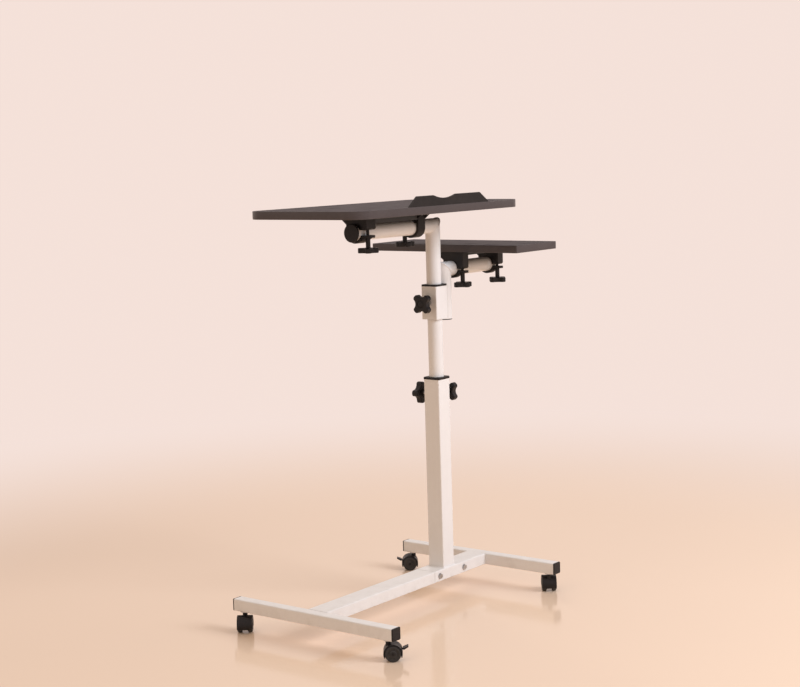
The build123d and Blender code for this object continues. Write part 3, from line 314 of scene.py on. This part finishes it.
@dataclass(frozen=True)
class MouldedPlastic:
    """Moulded plastic with a fine eroded texture and a little dust on what looks up."""

    name: str
    colour: Colour
    shade: Colour
    dust: Colour = (0.30, 0.28, 0.26)
    dust_amount: float = 0.04
    roughness: float = 0.42
    cloud_scale: float = 30.0
    lint_scale: float = 240.0
    rub_scale: float = 85.0
    grain_scale: float = 1900.0
    grain_depth: float = 0.00004
    edge_radius: float = 0.0005

    def make(self) -> bpy.types.Material:
        """Build the material."""
        sheet = ShaderSheet.of_material(self.name)
        cloud = sheet.noise(self.cloud_scale, 4.0, 0.6)
        grain = sheet.noise(self.grain_scale, 2.0, 0.5)
        base = sheet.blend(cloud.fade(0.35, 0.7), self.colour, self.shade)
        lint = sheet.noise(self.lint_scale, 4.0, 0.65).fade(0.45, 0.72)
        dirt = (sheet.upward() * 0.8 + 0.2) * lint * self.dust_amount
        base = sheet.blend(dirt, base, self.dust)
        rub = sheet.noise(self.rub_scale, 3.0, 0.55).fade(0.5, 0.75)
        rough = self.roughness + grain * 0.10 + dirt * 0.9 - rub * 0.10
        normal = sheet.bump(grain, self.grain_depth, 0.8, sheet.rounded(self.edge_radius))
        return sheet.finish(Base_Color=base, Roughness=rough, Normal=normal,
                            Specular_IOR_Level=0.32)


@dataclass(frozen=True)
class TreadNylon:
    """Caster wheel: black nylon, polished and dusty on the running surface."""

    name: str
    colour: Colour = (0.018, 0.018, 0.019)
    worn: Colour = (0.115, 0.105, 0.095)
    dust_scale: float = 210.0
    streak_scale: float = 620.0
    grain_scale: float = 1500.0
    grain_depth: float = 0.00005

    def make(self) -> bpy.types.Material:
        """Build the material."""
        sheet = ShaderSheet.of_material(self.name)
        dust = sheet.noise(self.dust_scale, 5.0, 0.7).fade(0.40, 0.72)
        streak = sheet.noise(self.streak_scale, 3.0, 0.6).fade(0.5, 0.75)
        base = sheet.blend(dust * 0.30 + streak * 0.14, self.colour, self.worn)
        grain = sheet.noise(self.grain_scale, 2.0, 0.5)
        rough = 0.36 + dust * 0.26 + grain * 0.06
        normal = sheet.bump(grain + streak * 0.6, self.grain_depth, 0.8)
        return sheet.finish(Base_Color=base, Roughness=rough, Normal=normal,
                            Specular_IOR_Level=0.5)


@dataclass(frozen=True)
class Laminate:
    """Dark pressed laminate: fine pores along the length, soft smears and a few dust specks."""

    name: str
    colour: Colour
    shade: Colour
    pore_scale: Point = (55.0, 900.0, 900.0)
    roughness: float = 0.52
    specular: float = 0.22
    speck_colour: Colour = (0.32, 0.30, 0.29)
    cloud_scale: float = 14.0
    smear_scale: float = 22.0
    speck_scale: float = 900.0
    pore_depth: float = 0.00005
    edge_radius: float = 0.0004

    def make(self) -> bpy.types.Material:
        """Build the material."""
        sheet = ShaderSheet.of_material(self.name)
        fibre = sheet.noise(1.0, 4.0, 0.6, sheet.stretched(self.pore_scale))
        cloud = sheet.noise(self.cloud_scale, 4.0, 0.6)
        uneven = (fibre * 0.6 + cloud * 0.4).fade(0.38, 0.66)
        base = sheet.blend(uneven, self.colour, self.shade)
        smear = sheet.noise(self.smear_scale, 5.0, 0.68).fade(0.46, 0.70)
        specks = sheet.noise(self.speck_scale, 4.0, 0.75).fade(0.70, 0.78) * sheet.upward()
        base = sheet.blend(specks * 0.25, base, self.speck_colour)
        rough = self.roughness + smear * 0.12 + fibre * 0.05
        finer = tuple(2.0 * scale for scale in self.pore_scale)
        pores = sheet.noise(1.0, 2.0, 0.5, sheet.stretched(finer))
        normal = sheet.bump(pores + fibre * 0.5, self.pore_depth, 0.6,
                            sheet.rounded(self.edge_radius))
        return sheet.finish(Base_Color=base, Roughness=rough, Normal=normal,
                            Specular_IOR_Level=self.specular)


@dataclass(frozen=True)
class ZincPlate:
    """Zinc-plated steel: cloudy brightness, fine turning marks and small dull spots."""

    name: str
    colour: Colour = (0.56, 0.565, 0.58)
    tarnish: Colour = (0.36, 0.345, 0.31)
    cloud_scale: float = 160.0
    spot_scale: float = 700.0
    mark_scale: float = 2400.0
    mark_depth: float = 0.00002
    edge_radius: float = 0.0002

    def make(self) -> bpy.types.Material:
        """Build the material."""
        sheet = ShaderSheet.of_material(self.name)
        cloud = sheet.noise(self.cloud_scale, 4.0, 0.65)
        spots = sheet.noise(self.spot_scale, 3.0, 0.6).fade(0.60, 0.72)
        dull = cloud.fade(0.40, 0.72) * 0.5 + spots * 0.4
        base = sheet.blend(dull, self.colour, self.tarnish)
        marks = sheet.noise(self.mark_scale, 2.0, 0.5)
        rough = 0.30 + cloud * 0.12 + spots * 0.18
        normal = sheet.bump(marks, self.mark_depth, 0.6, sheet.rounded(self.edge_radius))
        return sheet.finish(Base_Color=base, Metallic=1.0, Roughness=rough, Normal=normal)


@dataclass
class Finishes:
    """All finishes of the stand, one material per record slot."""

    made: dict[Slot, bpy.types.Material] = field(default_factory=dict)

    def __post_init__(self) -> None:
        """Build every material once."""
        recipes = {
            Slot.WHITE_STEEL: PowderCoat("white_powder_coat", (0.83, 0.81, 0.80),
                                         (0.81, 0.788, 0.775)),
            Slot.BLACK_STEEL: PowderCoat("black_powder_coat", (0.016, 0.016, 0.017),
                                         (0.024, 0.023, 0.024), roughness=0.42,
                                         dust_height=-1.0),
            Slot.BLACK_PLASTIC: MouldedPlastic("black_moulded_plastic", (0.008, 0.007, 0.008),
                                               (0.013, 0.011, 0.012)),
            Slot.PALE_NYLON: MouldedPlastic("pale_nylon", (0.66, 0.64, 0.58), (0.60, 0.57, 0.51),
                                            dust=(0.35, 0.33, 0.30), roughness=0.34),
            Slot.WHEEL_NYLON: TreadNylon("caster_wheel_nylon"),
            Slot.BOARD_LAMINATE: Laminate("dark_board_laminate", (0.018, 0.014, 0.019),
                                          (0.030, 0.024, 0.031)),
            Slot.BOARD_EDGE: Laminate("dark_edge_band", (0.050, 0.040, 0.042),
                                      (0.066, 0.054, 0.056), pore_scale=(90.0, 90.0, 1200.0),
                                      roughness=0.30, specular=0.5),
            Slot.PLATED_STEEL: ZincPlate("zinc_plated_steel"),
        }
        self.made = {slot: recipe.make() for slot, recipe in recipes.items()}

    def dress_nodes(self) -> None:
        """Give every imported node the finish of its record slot."""
        slots = {part["node"]: Slot(part["material_slot"]) for part in frame["record"]["subparts"]}
        for name, node in frame["nodes"].items():
            node.data.materials.clear()
            node.data.materials.append(self.made[slots[name]])
            LOG.info("node %s: %s", name, slots[name].value)


# ---------------------------------------------------------------- mesh kit


@dataclass
class Workshop:
    """Makes pieces, hangs them on bodies and reports each of them."""

    finishes: Finishes

    def piece(self, name: str, mesh: bmesh.types.BMesh, slot: Slot, body: str,
              replaces: Sequence[str] = (), crease_deg: float = 35.0) -> bpy.types.Object:
        """Turn a mesh into a finished piece of a body.

        Args:
            name: name of the piece.
            mesh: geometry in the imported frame; it is freed here.
            slot: record slot that gives the finish.
            body: body that the piece rides on.
            replaces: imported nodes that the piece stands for.
            crease_deg: edges sharper than this stay sharp.

        Returns:
            The new object.
        """
        bmesh.ops.recalc_face_normals(mesh, faces=mesh.faces)
        data = bpy.data.meshes.new(name)
        mesh.to_mesh(data)
        mesh.free()
        data.shade_smooth()
        data.set_sharp_from_angle(angle=math.radians(crease_deg))
        data.materials.append(self.finishes.made[slot])
        made = bpy.data.objects.new(name, data)
        bpy.context.scene.collection.objects.link(made)
        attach(made, body)
        if replaces:
            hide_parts(*replaces)
        LOG.info("piece %s on %s: %d faces", name, body, len(data.polygons))
        return made


def bridge_loops(mesh: bmesh.types.BMesh, loops: Sequence[Sequence[Vector]], ring: bool = False,
                 cap: bool = False) -> None:
    """Skin a row of closed loops that have the same number of points.

    Args:
        mesh: mesh to add to.
        loops: the loops in order.
        ring: join the last loop to the first.
        cap: close the first and last loops with a face each.
    """
    rows = [[mesh.verts.new(point) for point in loop] for loop in loops]
    pairs = list(zip(rows, rows[1:])) + ([(rows[-1], rows[0])] if ring else [])
    count = len(rows[0])
    for low, high in pairs:
        for i in range(count):
            j = (i + 1) % count
            mesh.faces.new((low[i], low[j], high[j], high[i]))
    if cap:
        mesh.faces.new(list(reversed(rows[0])))
        mesh.faces.new(rows[-1])


def turning_frame(origin: Point | Vector, axis: Point | Vector) -> Matrix:
    """Placement whose local z runs along axis from origin."""
    turned = Vector(axis).normalized().to_track_quat("Z", "Y").to_matrix().to_4x4()
    return Matrix.Translation(Vector(origin)) @ turned


def ring_points(placed: Matrix, radius: Callable[[float], float], height: float,
                steps: int = 48) -> list[Vector]:
    """Points round the local z of a placement.

    Args:
        placed: placement of the axis.
        radius: radius for an angle in radians.
        height: local z of the points.
        steps: number of points.

    Returns:
        The points, in order.
    """
    points = []
    for step in range(steps):
        angle = 2 * math.pi * step / steps
        reach = radius(angle)
        points.append(placed @ Vector((reach * math.cos(angle), reach * math.sin(angle), height)))
    return points


def lathe(mesh: bmesh.types.BMesh, profile: Sequence[tuple[float, float]], placed: Matrix,
          steps: int = 48) -> None:
    """Revolve a closed profile of (radius, height) points about the local z of a placement.

    Args:
        mesh: mesh to add to.
        profile: points in order; the last joins the first.
        placed: placement of the axis.
        steps: points round the axis.
    """
    loops = [ring_points(placed, lambda _, r=radius: r, height, steps)
             for radius, height in profile]
    bridge_loops(mesh, loops, ring=True)


def rounded_rectangle(centre: tuple[float, float], length: float, depth: float, radius: float,
                      inset: float, height: float, arc: int = 12) -> list[Vector]:
    """Closed outline of a rectangle with round corners.

    Args:
        centre: centre in X and Y.
        length: size along X.
        depth: size along Y.
        radius: corner radius.
        inset: distance by which the outline is drawn in.
        height: Z of the outline.
        arc: points on each corner.

    Returns:
        The points, in order.
    """
    corner = max(radius - inset, 1e-5)
    half_x, half_y = length / 2 - inset - corner, depth / 2 - inset - corner
    points = []
    for quarter, (sx, sy) in enumerate(((1, 1), (-1, 1), (-1, -1), (1, -1))):
        for step in range(arc + 1):
            angle = math.radians(90 * (quarter + step / arc))
            points.append(Vector((centre[0] + sx * half_x + corner * math.cos(angle),
                                  centre[1] + sy * half_y + corner * math.sin(angle), height)))
    return points


def weld_bead(mesh: bmesh.types.BMesh, path: Callable[[float], Vector], length: float,
              radius: float, closed: bool, ripple: float = 0.0016) -> None:
    """Lay a rippled bead along a path.

    Args:
        mesh: mesh to add to.
        path: point for a parameter from 0 to 1.
        length: approximate length of the path.
        radius: mean radius of the bead.
        closed: the path meets its own start.
        ripple: spacing of the solidified pools.
    """
    rows_per_pool, sides, step_ahead, steep = 4, 8, 1e-3, 0.9
    angles = [2 * math.pi * k / sides for k in range(sides)]
    rows = max(6, round(length / ripple)) * rows_per_pool
    loops = []
    for row in range(rows if closed else rows + 1):
        t = row / rows
        here = path(t)
        ahead = path(min(1.0, t + step_ahead)) - path(max(0.0, t - step_ahead))
        ahead.normalize()
        across = ahead.orthogonal() if abs(ahead.z) > steep else ahead.cross(Vector((0, 0, 1)))
        side = across.normalized()
        lift = ahead.cross(side).normalized()
        pool = math.sin(math.pi * (row % rows_per_pool) / rows_per_pool)
        swell = radius * (0.90 + 0.13 * pool + 0.02 * math.sin(7.3 * row))
        loops.append([here + side * swell * math.cos(a) + lift * swell * math.sin(a)
                      for a in angles])
    bridge_loops(mesh, loops, ring=closed, cap=not closed)


def threaded_rod(mesh: bmesh.types.BMesh, placed: Matrix, start: float, end: float, radius: float,
                 pitch: float, steps: int = 24) -> None:
    """Rod with a helical thread between two places on the local z of a placement.

    Args:
        mesh: mesh to add to.
        placed: placement of the axis.
        start: lower end.
        end: upper end.
        radius: crest radius.
        pitch: thread pitch.
        steps: points round the axis.
    """
    depth = pitch * 0.52
    rows_per_turn, runout_rows = 8, 6
    rows = max(rows_per_turn, round((end - start) / pitch * rows_per_turn))
    loops = []
    for row in range(rows + 1):
        z = start + (end - start) * row / rows
        taper = min(1.0, min(row, rows - row) / runout_rows)
        loop = []
        for step in range(steps):
            turn = step / steps
            wave = abs(((z / pitch - turn) % 1.0) * 2 - 1)
            r = radius - depth * min(1.0, max(0.0, wave * 1.3 - 0.15)) - (1 - taper) * depth * 0.6
            angle = 2 * math.pi * turn
            loop.append(placed @ Vector((r * math.cos(angle), r * math.sin(angle), z)))
        loops.append(loop)
    bridge_loops(mesh, loops, cap=True)


def hexagon(mesh: bmesh.types.BMesh, placed: Matrix, flats: float, height: float,
            bore: float = 0.0) -> None:
    """Hexagon head or nut with its corners chamfered.

    Args:
        mesh: mesh to add to.
        placed: placement; the piece stands on its local z = 0.
        flats: width across flats.
        height: thickness.
        bore: radius of the hole, or 0 for a solid head.
    """
    face, corner, chamfer = flats * 0.475, flats / math.sqrt(3), height * 0.16

    def outline(limit: float, z: float) -> list[Vector]:
        """Hexagon at a height, cut by the chamfer's circle."""
        def reach(angle: float) -> float:
            """Radius of the outline at an angle."""
            folded = (angle + math.pi / 6) % (math.pi / 3) - math.pi / 6
            return min(flats / 2 / math.cos(folded), limit)
        return ring_points(placed, reach, z)

    loops = [outline(face, 0.0), outline(corner, chamfer * 0.6), outline(corner, height - chamfer),
             outline(face, height)]
    if bore:
        loops += [ring_points(placed, lambda _: bore, z) for z in (height, 0.0)]
    bridge_loops(mesh, loops, ring=bool(bore), cap=not bore)


def joint_place(name: str) -> tuple[Vector, Vector]:
    """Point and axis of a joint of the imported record."""
    joint = next(entry for entry in frame["joints"] if entry["name"] == name)
    return Vector(joint.get("pos_m", (0, 0, 0))), Vector(joint["axis"]).normalized()


# ---------------------------------------------------------------- sub-assemblies


@dataclass
class CasterSet:
    """Twin-wheel casters: each wheel has a crowned tread, a ribbed dished web and a hub ring."""

    shop: Workshop
    wheel_radius: float = 0.016
    wheel_width: float = 0.010
    half_gap: float = 0.0058
    bore: float = 0.00305
    ribs: int = 6
    rib_half: float = 0.00055
    rib_flare: float = 1.25

    def build(self) -> None:
        """Make the wheels of all four casters."""
        for corner in Corner:
            self.wheels(corner)

    def wheels(self, corner: Corner) -> None:
        """Make the pair of wheels of one caster."""
        centre, axle = joint_place(f"roll_{corner.value}")
        mesh = bmesh.new()
        for side in (-1, 1):
            placed = turning_frame(centre + axle * side * self.half_gap, axle * side)
            lathe(mesh, self.profile(), placed)
            for number in range(self.ribs):
                self.rib(mesh, placed @ Matrix.Rotation(2 * math.pi * number / self.ribs, 4, "Z"))
        self.shop.piece(f"wheel_pair_{corner.value}", mesh, Slot.WHEEL_NYLON,
                        f"wheels_{corner.value}", [f"caster_wheels_{corner.value}"])

    def profile(self) -> list[tuple[float, float]]:
        """Section of one wheel from the core side outward."""
        r, w = self.wheel_radius, self.wheel_width
        return [(self.bore, 0.0), (r - 0.0018, 0.0), (r - 0.0007, 0.0004), (r - 0.0001, 0.0016),
                (r, w * 0.36), (r - 0.0003, w * 0.42), (r - 0.0003, w * 0.46), (r, w * 0.52),
                (r - 0.0001, w - 0.0020), (r - 0.0006, w - 0.0007), (r - 0.0018, w - 0.0001),
                (r - 0.0031, w), (r - 0.0037, w - 0.0004), (r - 0.0040, w - 0.0016),
                (r * 0.47, w - 0.0019), (r * 0.44, w - 0.0004), (r * 0.41, w),
                (r * 0.31, w + 0.0003), (r * 0.28, w - 0.0001), (self.bore, w - 0.0002)]

    def rib(self, mesh: bmesh.types.BMesh, placed: Matrix) -> None:
        """Add one radial rib, wider at the hub, to a wheel's web."""
        low, high = self.wheel_width - 0.0021, self.wheel_width - 0.0006
        section = ((-1, low), (1, low), (1, high), (-1, high))
        ends = ((self.wheel_radius * 0.43, self.rib_half * self.rib_flare),
                (self.wheel_radius - 0.0038, self.rib_half))
        bridge_loops(mesh, [[placed @ Vector((reach, side * half, z)) for side, z in section]
                            for reach, half in ends], cap=True)


@dataclass
class BaseFrame:
    """Welds of the H base and the bolts that join the two halves of its beam."""

    shop: Workshop
    beam_half: float = 0.025
    post_half: float = 0.020
    post_corner: float = 0.0025
    bolt_offsets: tuple[float, float] = (-0.041, 0.049)
    bolt_flats: float = 0.010
    bolt_radius: float = 0.003
    bolt_pitch: float = 0.001
    washer_radius: float = 0.0064
    washer_height: float = 0.0008
    head_height: float = 0.0032
    nut_height: float = 0.0042
    bolt_past_beam: float = 0.0068
    seam_bead: float = 0.0015
    seam_inset: float = 0.001
    post_bead: float = 0.0016

    def build(self) -> None:
        """Make the welds and bolts."""
        self.welds()
        self.bolts()

    def mast_x(self) -> float:
        """X of the mast's axis."""
        return joint_place("mast_turn")[0].x

    def heights(self) -> tuple[float, float]:
        """Heights of the feet's underside and top."""
        low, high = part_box("near_foot")
        return low.z, high.z

    def welds(self) -> None:
        """Lay beads up both sides of each beam end and round the post's foot."""
        mesh = bmesh.new()
        bottom, top = self.heights()
        inset = self.seam_inset
        for x in (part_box("near_foot")[1].x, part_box("far_foot")[0].x):
            for side in (-1, 1):
                def upright(t: float, x: float = x, side: int = side) -> Vector:
                    """Point up the seam between a beam's side and a foot."""
                    height = bottom + inset + (top - bottom - 2 * inset) * t
                    return Vector((x, side * self.beam_half, height))
                weld_bead(mesh, upright, top - bottom, self.seam_bead, False)
        width = 2 * self.post_half
        centre = (self.mast_x(), 0.0)
        outline = rounded_rectangle(centre, width, width, self.post_corner, 0.0, top, 6)

        def around(t: float) -> Vector:
            """Point on the seam round the post's foot."""
            lengths = [(outline[(i + 1) % len(outline)] - p).length for i, p in enumerate(outline)]
            left = (t % 1.0) * sum(lengths)
            for i, span in enumerate(lengths):
                if left <= span and span > 0:
                    return outline[i].lerp(outline[(i + 1) % len(outline)], left / span)
                left -= span
            return outline[0].copy()

        weld_bead(mesh, around, 4 * width, self.post_bead, True)
        self.shop.piece("base_welds", mesh, Slot.WHITE_STEEL, "base", crease_deg=60.0)

    def bolts(self) -> None:
        """Make the two through bolts with washers and nuts."""
        mesh = bmesh.new()
        radius, edge, thick = self.bolt_radius, self.washer_radius, self.washer_height
        washer = [(radius, 0.0), (edge - 0.0002, 0.0), (edge, 0.0003), (edge - 0.0002, thick),
                  (radius, thick)]
        outside = Matrix.Translation((0, 0, thick))
        height = sum(self.heights()) / 2
        for offset in self.bolt_offsets:
            x = self.mast_x() + offset
            head = turning_frame((x, -self.beam_half, height), (0, -1, 0))
            tail = turning_frame((x, self.beam_half, height), (0, 1, 0))
            for placed in (head, tail):
                lathe(mesh, washer, placed)
            hexagon(mesh, head @ outside, self.bolt_flats, self.head_height)
            hexagon(mesh, tail @ outside, self.bolt_flats, self.nut_height, radius)
            threaded_rod(mesh, tail, -2 * self.beam_half, self.bolt_past_beam, radius - THREAD_PLAY,
                         self.bolt_pitch)
        self.shop.piece("beam_bolt_set", mesh, Slot.PLATED_STEEL, "base", ["beam_bolts"])


@dataclass
class ClampingKnobs:
    """Four-lobed knobs: a hub button in each, and the threaded screw behind it."""

    shop: Workshop
    screw_radius: float = 0.004
    pitch: float = 0.00125
    play: float = 0.00005
    button_radius: float = 0.0076
    button_sunk: float = 0.0016
    names: tuple[str, ...] = ("post_knob_back", "post_knob_side", "sleeve_knob")

    def build(self) -> None:
        """Make the screws and buttons of the three knobs."""
        for name in self.names:
            centre, axis = joint_place(f"{name}_turn")
            low, high = self.span(f"{name}_screw", centre, axis)
            placed = turning_frame(centre, axis)
            mesh = bmesh.new()
            threaded_rod(mesh, placed, low, high, self.screw_radius - self.play, self.pitch)
            self.shop.piece(f"{name}_thread", mesh, Slot.PLATED_STEEL, f"{name}_turning",
                            [f"{name}_screw"], 50.0)
            _, face = self.span(name, centre, axis)
            self.button(name, turning_frame(centre + axis * (face - self.button_sunk), axis))

    def span(self, node: str, centre: Vector, axis: Vector) -> tuple[float, float]:
        """Lowest and highest place of a node's box along an axis, from the centre."""
        low, high = sorted((corner - centre).dot(axis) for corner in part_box(node))
        return low, high

    def button(self, name: str, placed: Matrix) -> None:
        """Domed button in the dish of a knob."""
        mesh = bmesh.new()
        edge = self.button_radius
        lathe(mesh, [(0.0002, 0.0), (edge - 0.0002, 0.0), (edge, 0.0006), (edge - 0.0006, 0.0013),
                     (edge - 0.0024, 0.0017), (edge - 0.0048, 0.0019), (0.0002, 0.00195)],
              placed, 40)
        self.shop.piece(f"{name}_button", mesh, Slot.BLACK_PLASTIC, f"{name}_turning")


@dataclass
class MastTubes:
    """Weld beads at the mitres of the mast and the side arm, and along the sleeve's seam."""

    shop: Workshop
    tube_radius: float = 0.016
    bead: float = 0.0012
    mitre_stretch: float = 1.22
    seam_bead: float = 0.0024
    seam_inset: float = 0.002
    seam_ripple: float = 0.0022

    def build(self) -> None:
        """Lay the beads."""
        mast, _ = joint_place("mast_turn")
        arm, _ = joint_place("main_tilt")
        self.mitre("mast_mitre_weld", Vector((mast.x, 0.0, arm.z)), 1, "mast")
        side, _ = joint_place("side_tilt")
        low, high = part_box("side_upright_tube")
        upright_x = (low.x + high.x) / 2
        self.mitre("side_mitre_weld", Vector((upright_x, 0.0, side.z)), -1, "sleeve_and_arm")
        self.seam(upright_x)

    def mitre(self, name: str, centre: Vector, slope: int, body: str) -> None:
        """Lay a bead round the mitre of two round tubes.

        Args:
            name: name of the piece.
            centre: where the two tubes' axes meet.
            slope: 1 where the mitre rises towards +X, -1 where it falls.
            body: body that carries both tubes.
        """
        def seam(t: float) -> Vector:
            """Point on the mitre's ellipse."""
            angle = 2 * math.pi * t
            x = self.tube_radius * math.cos(angle)
            return centre + Vector((x, self.tube_radius * math.sin(angle), slope * x))

        mesh = bmesh.new()
        length = 2 * math.pi * self.tube_radius * self.mitre_stretch
        weld_bead(mesh, seam, length, self.bead, True)
        self.shop.piece(name, mesh, Slot.WHITE_STEEL, body, crease_deg=60.0)

    def seam(self, upright_x: float) -> None:
        """Lay a fillet on each side of the line where the upright tube meets the sleeve."""
        low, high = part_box("sleeve")
        wall, inset = high.x, self.seam_inset
        gap = math.sqrt(self.tube_radius ** 2 - (upright_x - wall - self.seam_bead * 0.55) ** 2)
        mesh = bmesh.new()
        for side in (-1, 1):
            def upward(t: float, side: int = side) -> Vector:
                """Point up one of the two fillets."""
                height = low.z + inset + (high.z - low.z - 2 * inset) * t
                return Vector((wall + self.seam_bead * 0.35, side * gap * 0.92, height))
            weld_bead(mesh, upward, high.z - low.z, self.seam_bead, False, self.seam_ripple)
        self.shop.piece("sleeve_seam_weld", mesh, Slot.WHITE_STEEL, "sleeve_and_arm",
                        crease_deg=60.0)


@dataclass
class BoardBand:
    """Wrapped edge band of a laminated board, with its arrises eased."""

    shop: Workshop
    node: str
    body: str
    corner: float
    band: float = 0.0006
    ease: float = 0.0009
    ease_steps: int = 4

    def build(self) -> None:
        """Make the band."""
        low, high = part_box(f"{self.node}_edge_band")
        centre = ((low.x + high.x) / 2, (low.y + high.y) / 2)
        size = (high.x - low.x, high.y - low.y)

        def outline(inset: float, z: float) -> list[Vector]:
            """Outline of the board at an inset and a height."""
            return rounded_rectangle(centre, *size, self.corner, inset, z, 20)

        turns = [math.radians(90 * step / self.ease_steps) for step in range(self.ease_steps + 1)]
        rising = [(self.band * (1 - math.sin(turn)), low.z + self.ease * (1 - math.cos(turn)))
                  for turn in turns]
        closing = [(self.band * (1 - math.cos(turn)), high.z - self.ease * (1 - math.sin(turn)))
                   for turn in turns]
        mesh = bmesh.new()
        bridge_loops(mesh, [outline(inset, z) for inset, z in rising + closing], ring=True)
        self.shop.piece(f"{self.node}_band", mesh, Slot.BOARD_EDGE, self.body,
                        [f"{self.node}_edge_band"])


# ---------------------------------------------------------------- studio


@dataclass(frozen=True)
class PhotoCamera:
    """Camera at the photograph's viewpoint."""

    place: Point = (-2.7285, -2.0975, 0.9820)
    azimuth_deg: float = -52.369
    pitch_deg: float = 6.849
    roll_deg: float = -1.709
    focal_px: float = 1651.9
    image_width_px: float = 800.0
    sensor_mm: float = 36.0

    def build(self) -> None:
        """Make the camera and use it."""
        turn = math.radians(self.azimuth_deg)
        pitch = math.radians(self.pitch_deg)
        roll = math.radians(self.roll_deg)
        forward = Vector((-math.sin(turn) * math.cos(pitch), math.cos(turn) * math.cos(pitch),
                          -math.sin(pitch)))
        level = Vector((math.cos(turn), math.sin(turn), 0.0))
        above = level.cross(forward)
        right = level * math.cos(roll) + above * math.sin(roll)
        up = above * math.cos(roll) - level * math.sin(roll)
        placed = Matrix((right, up, -forward)).transposed().to_4x4()
        data = bpy.data.cameras.new("photo_camera")
        data.sensor_width = self.sensor_mm
        data.lens = self.focal_px / self.image_width_px * self.sensor_mm
        data.clip_end = 100.0
        made = bpy.data.objects.new("photo_camera", data)
        made.matrix_world = Matrix.Translation(Vector(self.place)) @ placed
        bpy.context.scene.collection.objects.link(made)
        bpy.context.scene.camera = made


@dataclass(frozen=True)
class SoftLamp:
    """A large soft lamp that looks at the stand and isn't mirrored by the floor."""

    name: str
    place: Point
    size: float
    watts: float
    colour: Colour
    target: Point = (0.0, 0.0, 0.45)

    def build(self) -> None:
        """Make the lamp."""
        data = bpy.data.lights.new(self.name, "AREA")
        data.shape = "DISK"
        data.size = self.size
        data.energy = self.watts
        data.color = self.colour
        made = bpy.data.objects.new(self.name, data)
        made.visible_glossy = False
        made.location = Vector(self.place)
        aim = Vector(self.target) - Vector(self.place)
        made.rotation_euler = aim.to_track_quat("-Z", "Y").to_euler()
        bpy.context.scene.collection.objects.link(made)


@dataclass
class Studio:
    """Pale floor that fades into a pale backdrop, and soft light from the user's side."""

    floor_colour: Colour = (0.92, 0.71, 0.545)
    backdrop: Colour = (0.91, 0.755, 0.695)
    ambient_colour: Colour = (1.0, 0.82, 0.67)
    ambient: float = 0.50
    floor_size: float = 30.0
    floor_drop: float = 0.0002
    floor_roughness: float = 0.12
    fade_start: float = 0.9
    fade_end: float = 2.6
    lamps: tuple[SoftLamp, ...] = (
        SoftLamp("key_lamp", (0.7, -3.2, 2.3), 2.2, 96.0, (0.97, 1.03, 1.14)),
        SoftLamp("side_lamp", (-3.0, 0.6, 2.4), 2.6, 16.0, (1.0, 0.86, 0.72)),
        SoftLamp("back_lamp", (2.4, 2.6, 2.8), 2.2, 30.0, (1.0, 0.95, 0.90)),
    )

    def build(self) -> None:
        """Make the floor, world and lamps."""
        bpy.context.scene.view_settings.view_transform = "Standard"
        self.floor()
        self.world()
        for lamp in self.lamps:
            lamp.build()

    def floor(self) -> None:
        """Polished pale floor that reflects the stand faintly and ends without a horizon."""
        mesh = bmesh.new()
        half = self.floor_size / 2
        mesh.faces.new([mesh.verts.new((side_x * half, side_y * half, -self.floor_drop))
                        for side_x, side_y in ((-1, -1), (1, -1), (1, 1), (-1, 1))])
        data = bpy.data.meshes.new("studio_floor")
        mesh.to_mesh(data)
        mesh.free()
        sheet = ShaderSheet.of_material("studio_floor")
        cloud = sheet.noise(0.9, 2.0, 0.5)
        tone = tuple(v * 0.985 for v in self.floor_colour)
        base = sheet.blend(cloud.fade(0.35, 0.7), self.floor_colour, tone)
        polished = sheet.node("ShaderNodeBsdfPrincipled", inputs={
            "Base Color": base, "Roughness": self.floor_roughness, "Specular IOR Level": 0.5})
        far = sheet.node("ShaderNodeVectorMath", {"operation": "LENGTH"}, {0: sheet.place()},
                         "Value")
        seen = sheet.node("ShaderNodeLightPath", output="Is Camera Ray")
        glow = sheet.node("ShaderNodeEmission", inputs={
            "Color": (*self.backdrop, 1.0), "Strength": 1.0})
        mixed = sheet.node("ShaderNodeMixShader", inputs={
            0: seen * far.fade(self.fade_start, self.fade_end), 1: polished, 2: glow})
        sheet.node_output(mixed)
        data.materials.append(sheet.owner)
        made = bpy.data.objects.new("studio_floor", data)
        bpy.context.scene.collection.objects.link(made)

    def world(self) -> None:
        """Even ambient light, with a pale backdrop where the camera or a reflection sees it."""
        world = bpy.data.worlds.new("studio_world")
        bpy.context.scene.world = world
        sheet = ShaderSheet(world)
        camera_ray = sheet.node("ShaderNodeLightPath", output="Is Camera Ray")
        glossy_ray = sheet.node("ShaderNodeLightPath", output="Is Glossy Ray")
        ambient, backdrop = (
            sheet.node("ShaderNodeBackground", inputs={
                "Color": (*colour, 1.0), "Strength": strength})
            for colour, strength in ((self.ambient_colour, self.ambient), (self.backdrop, 1.0)))
        mixed = sheet.node("ShaderNodeMixShader", inputs={
            0: camera_ray.at_least(glossy_ray), 1: ambient, 2: backdrop})
        sheet.node_output(mixed, "ShaderNodeOutputWorld")


def main() -> None:
    """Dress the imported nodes, build every piece, and set up the studio."""
    logging.basicConfig(level=logging.INFO, format="%(message)s")
    PhotoCamera().build()
    finishes = Finishes()
    finishes.dress_nodes()
    shop = Workshop(finishes)
    for part in (
        BaseFrame(shop),
        CasterSet(shop),
        ClampingKnobs(shop),
        MastTubes(shop),
        BoardBand(shop, "main_board", "main_table", corner=0.038),
        BoardBand(shop, "side_shelf", "side_table", corner=0.002),
    ):
        part.build()
        LOG.info("built %s", type(part).__name__)
    Studio().build()


if __name__ == "__main__":
    main()
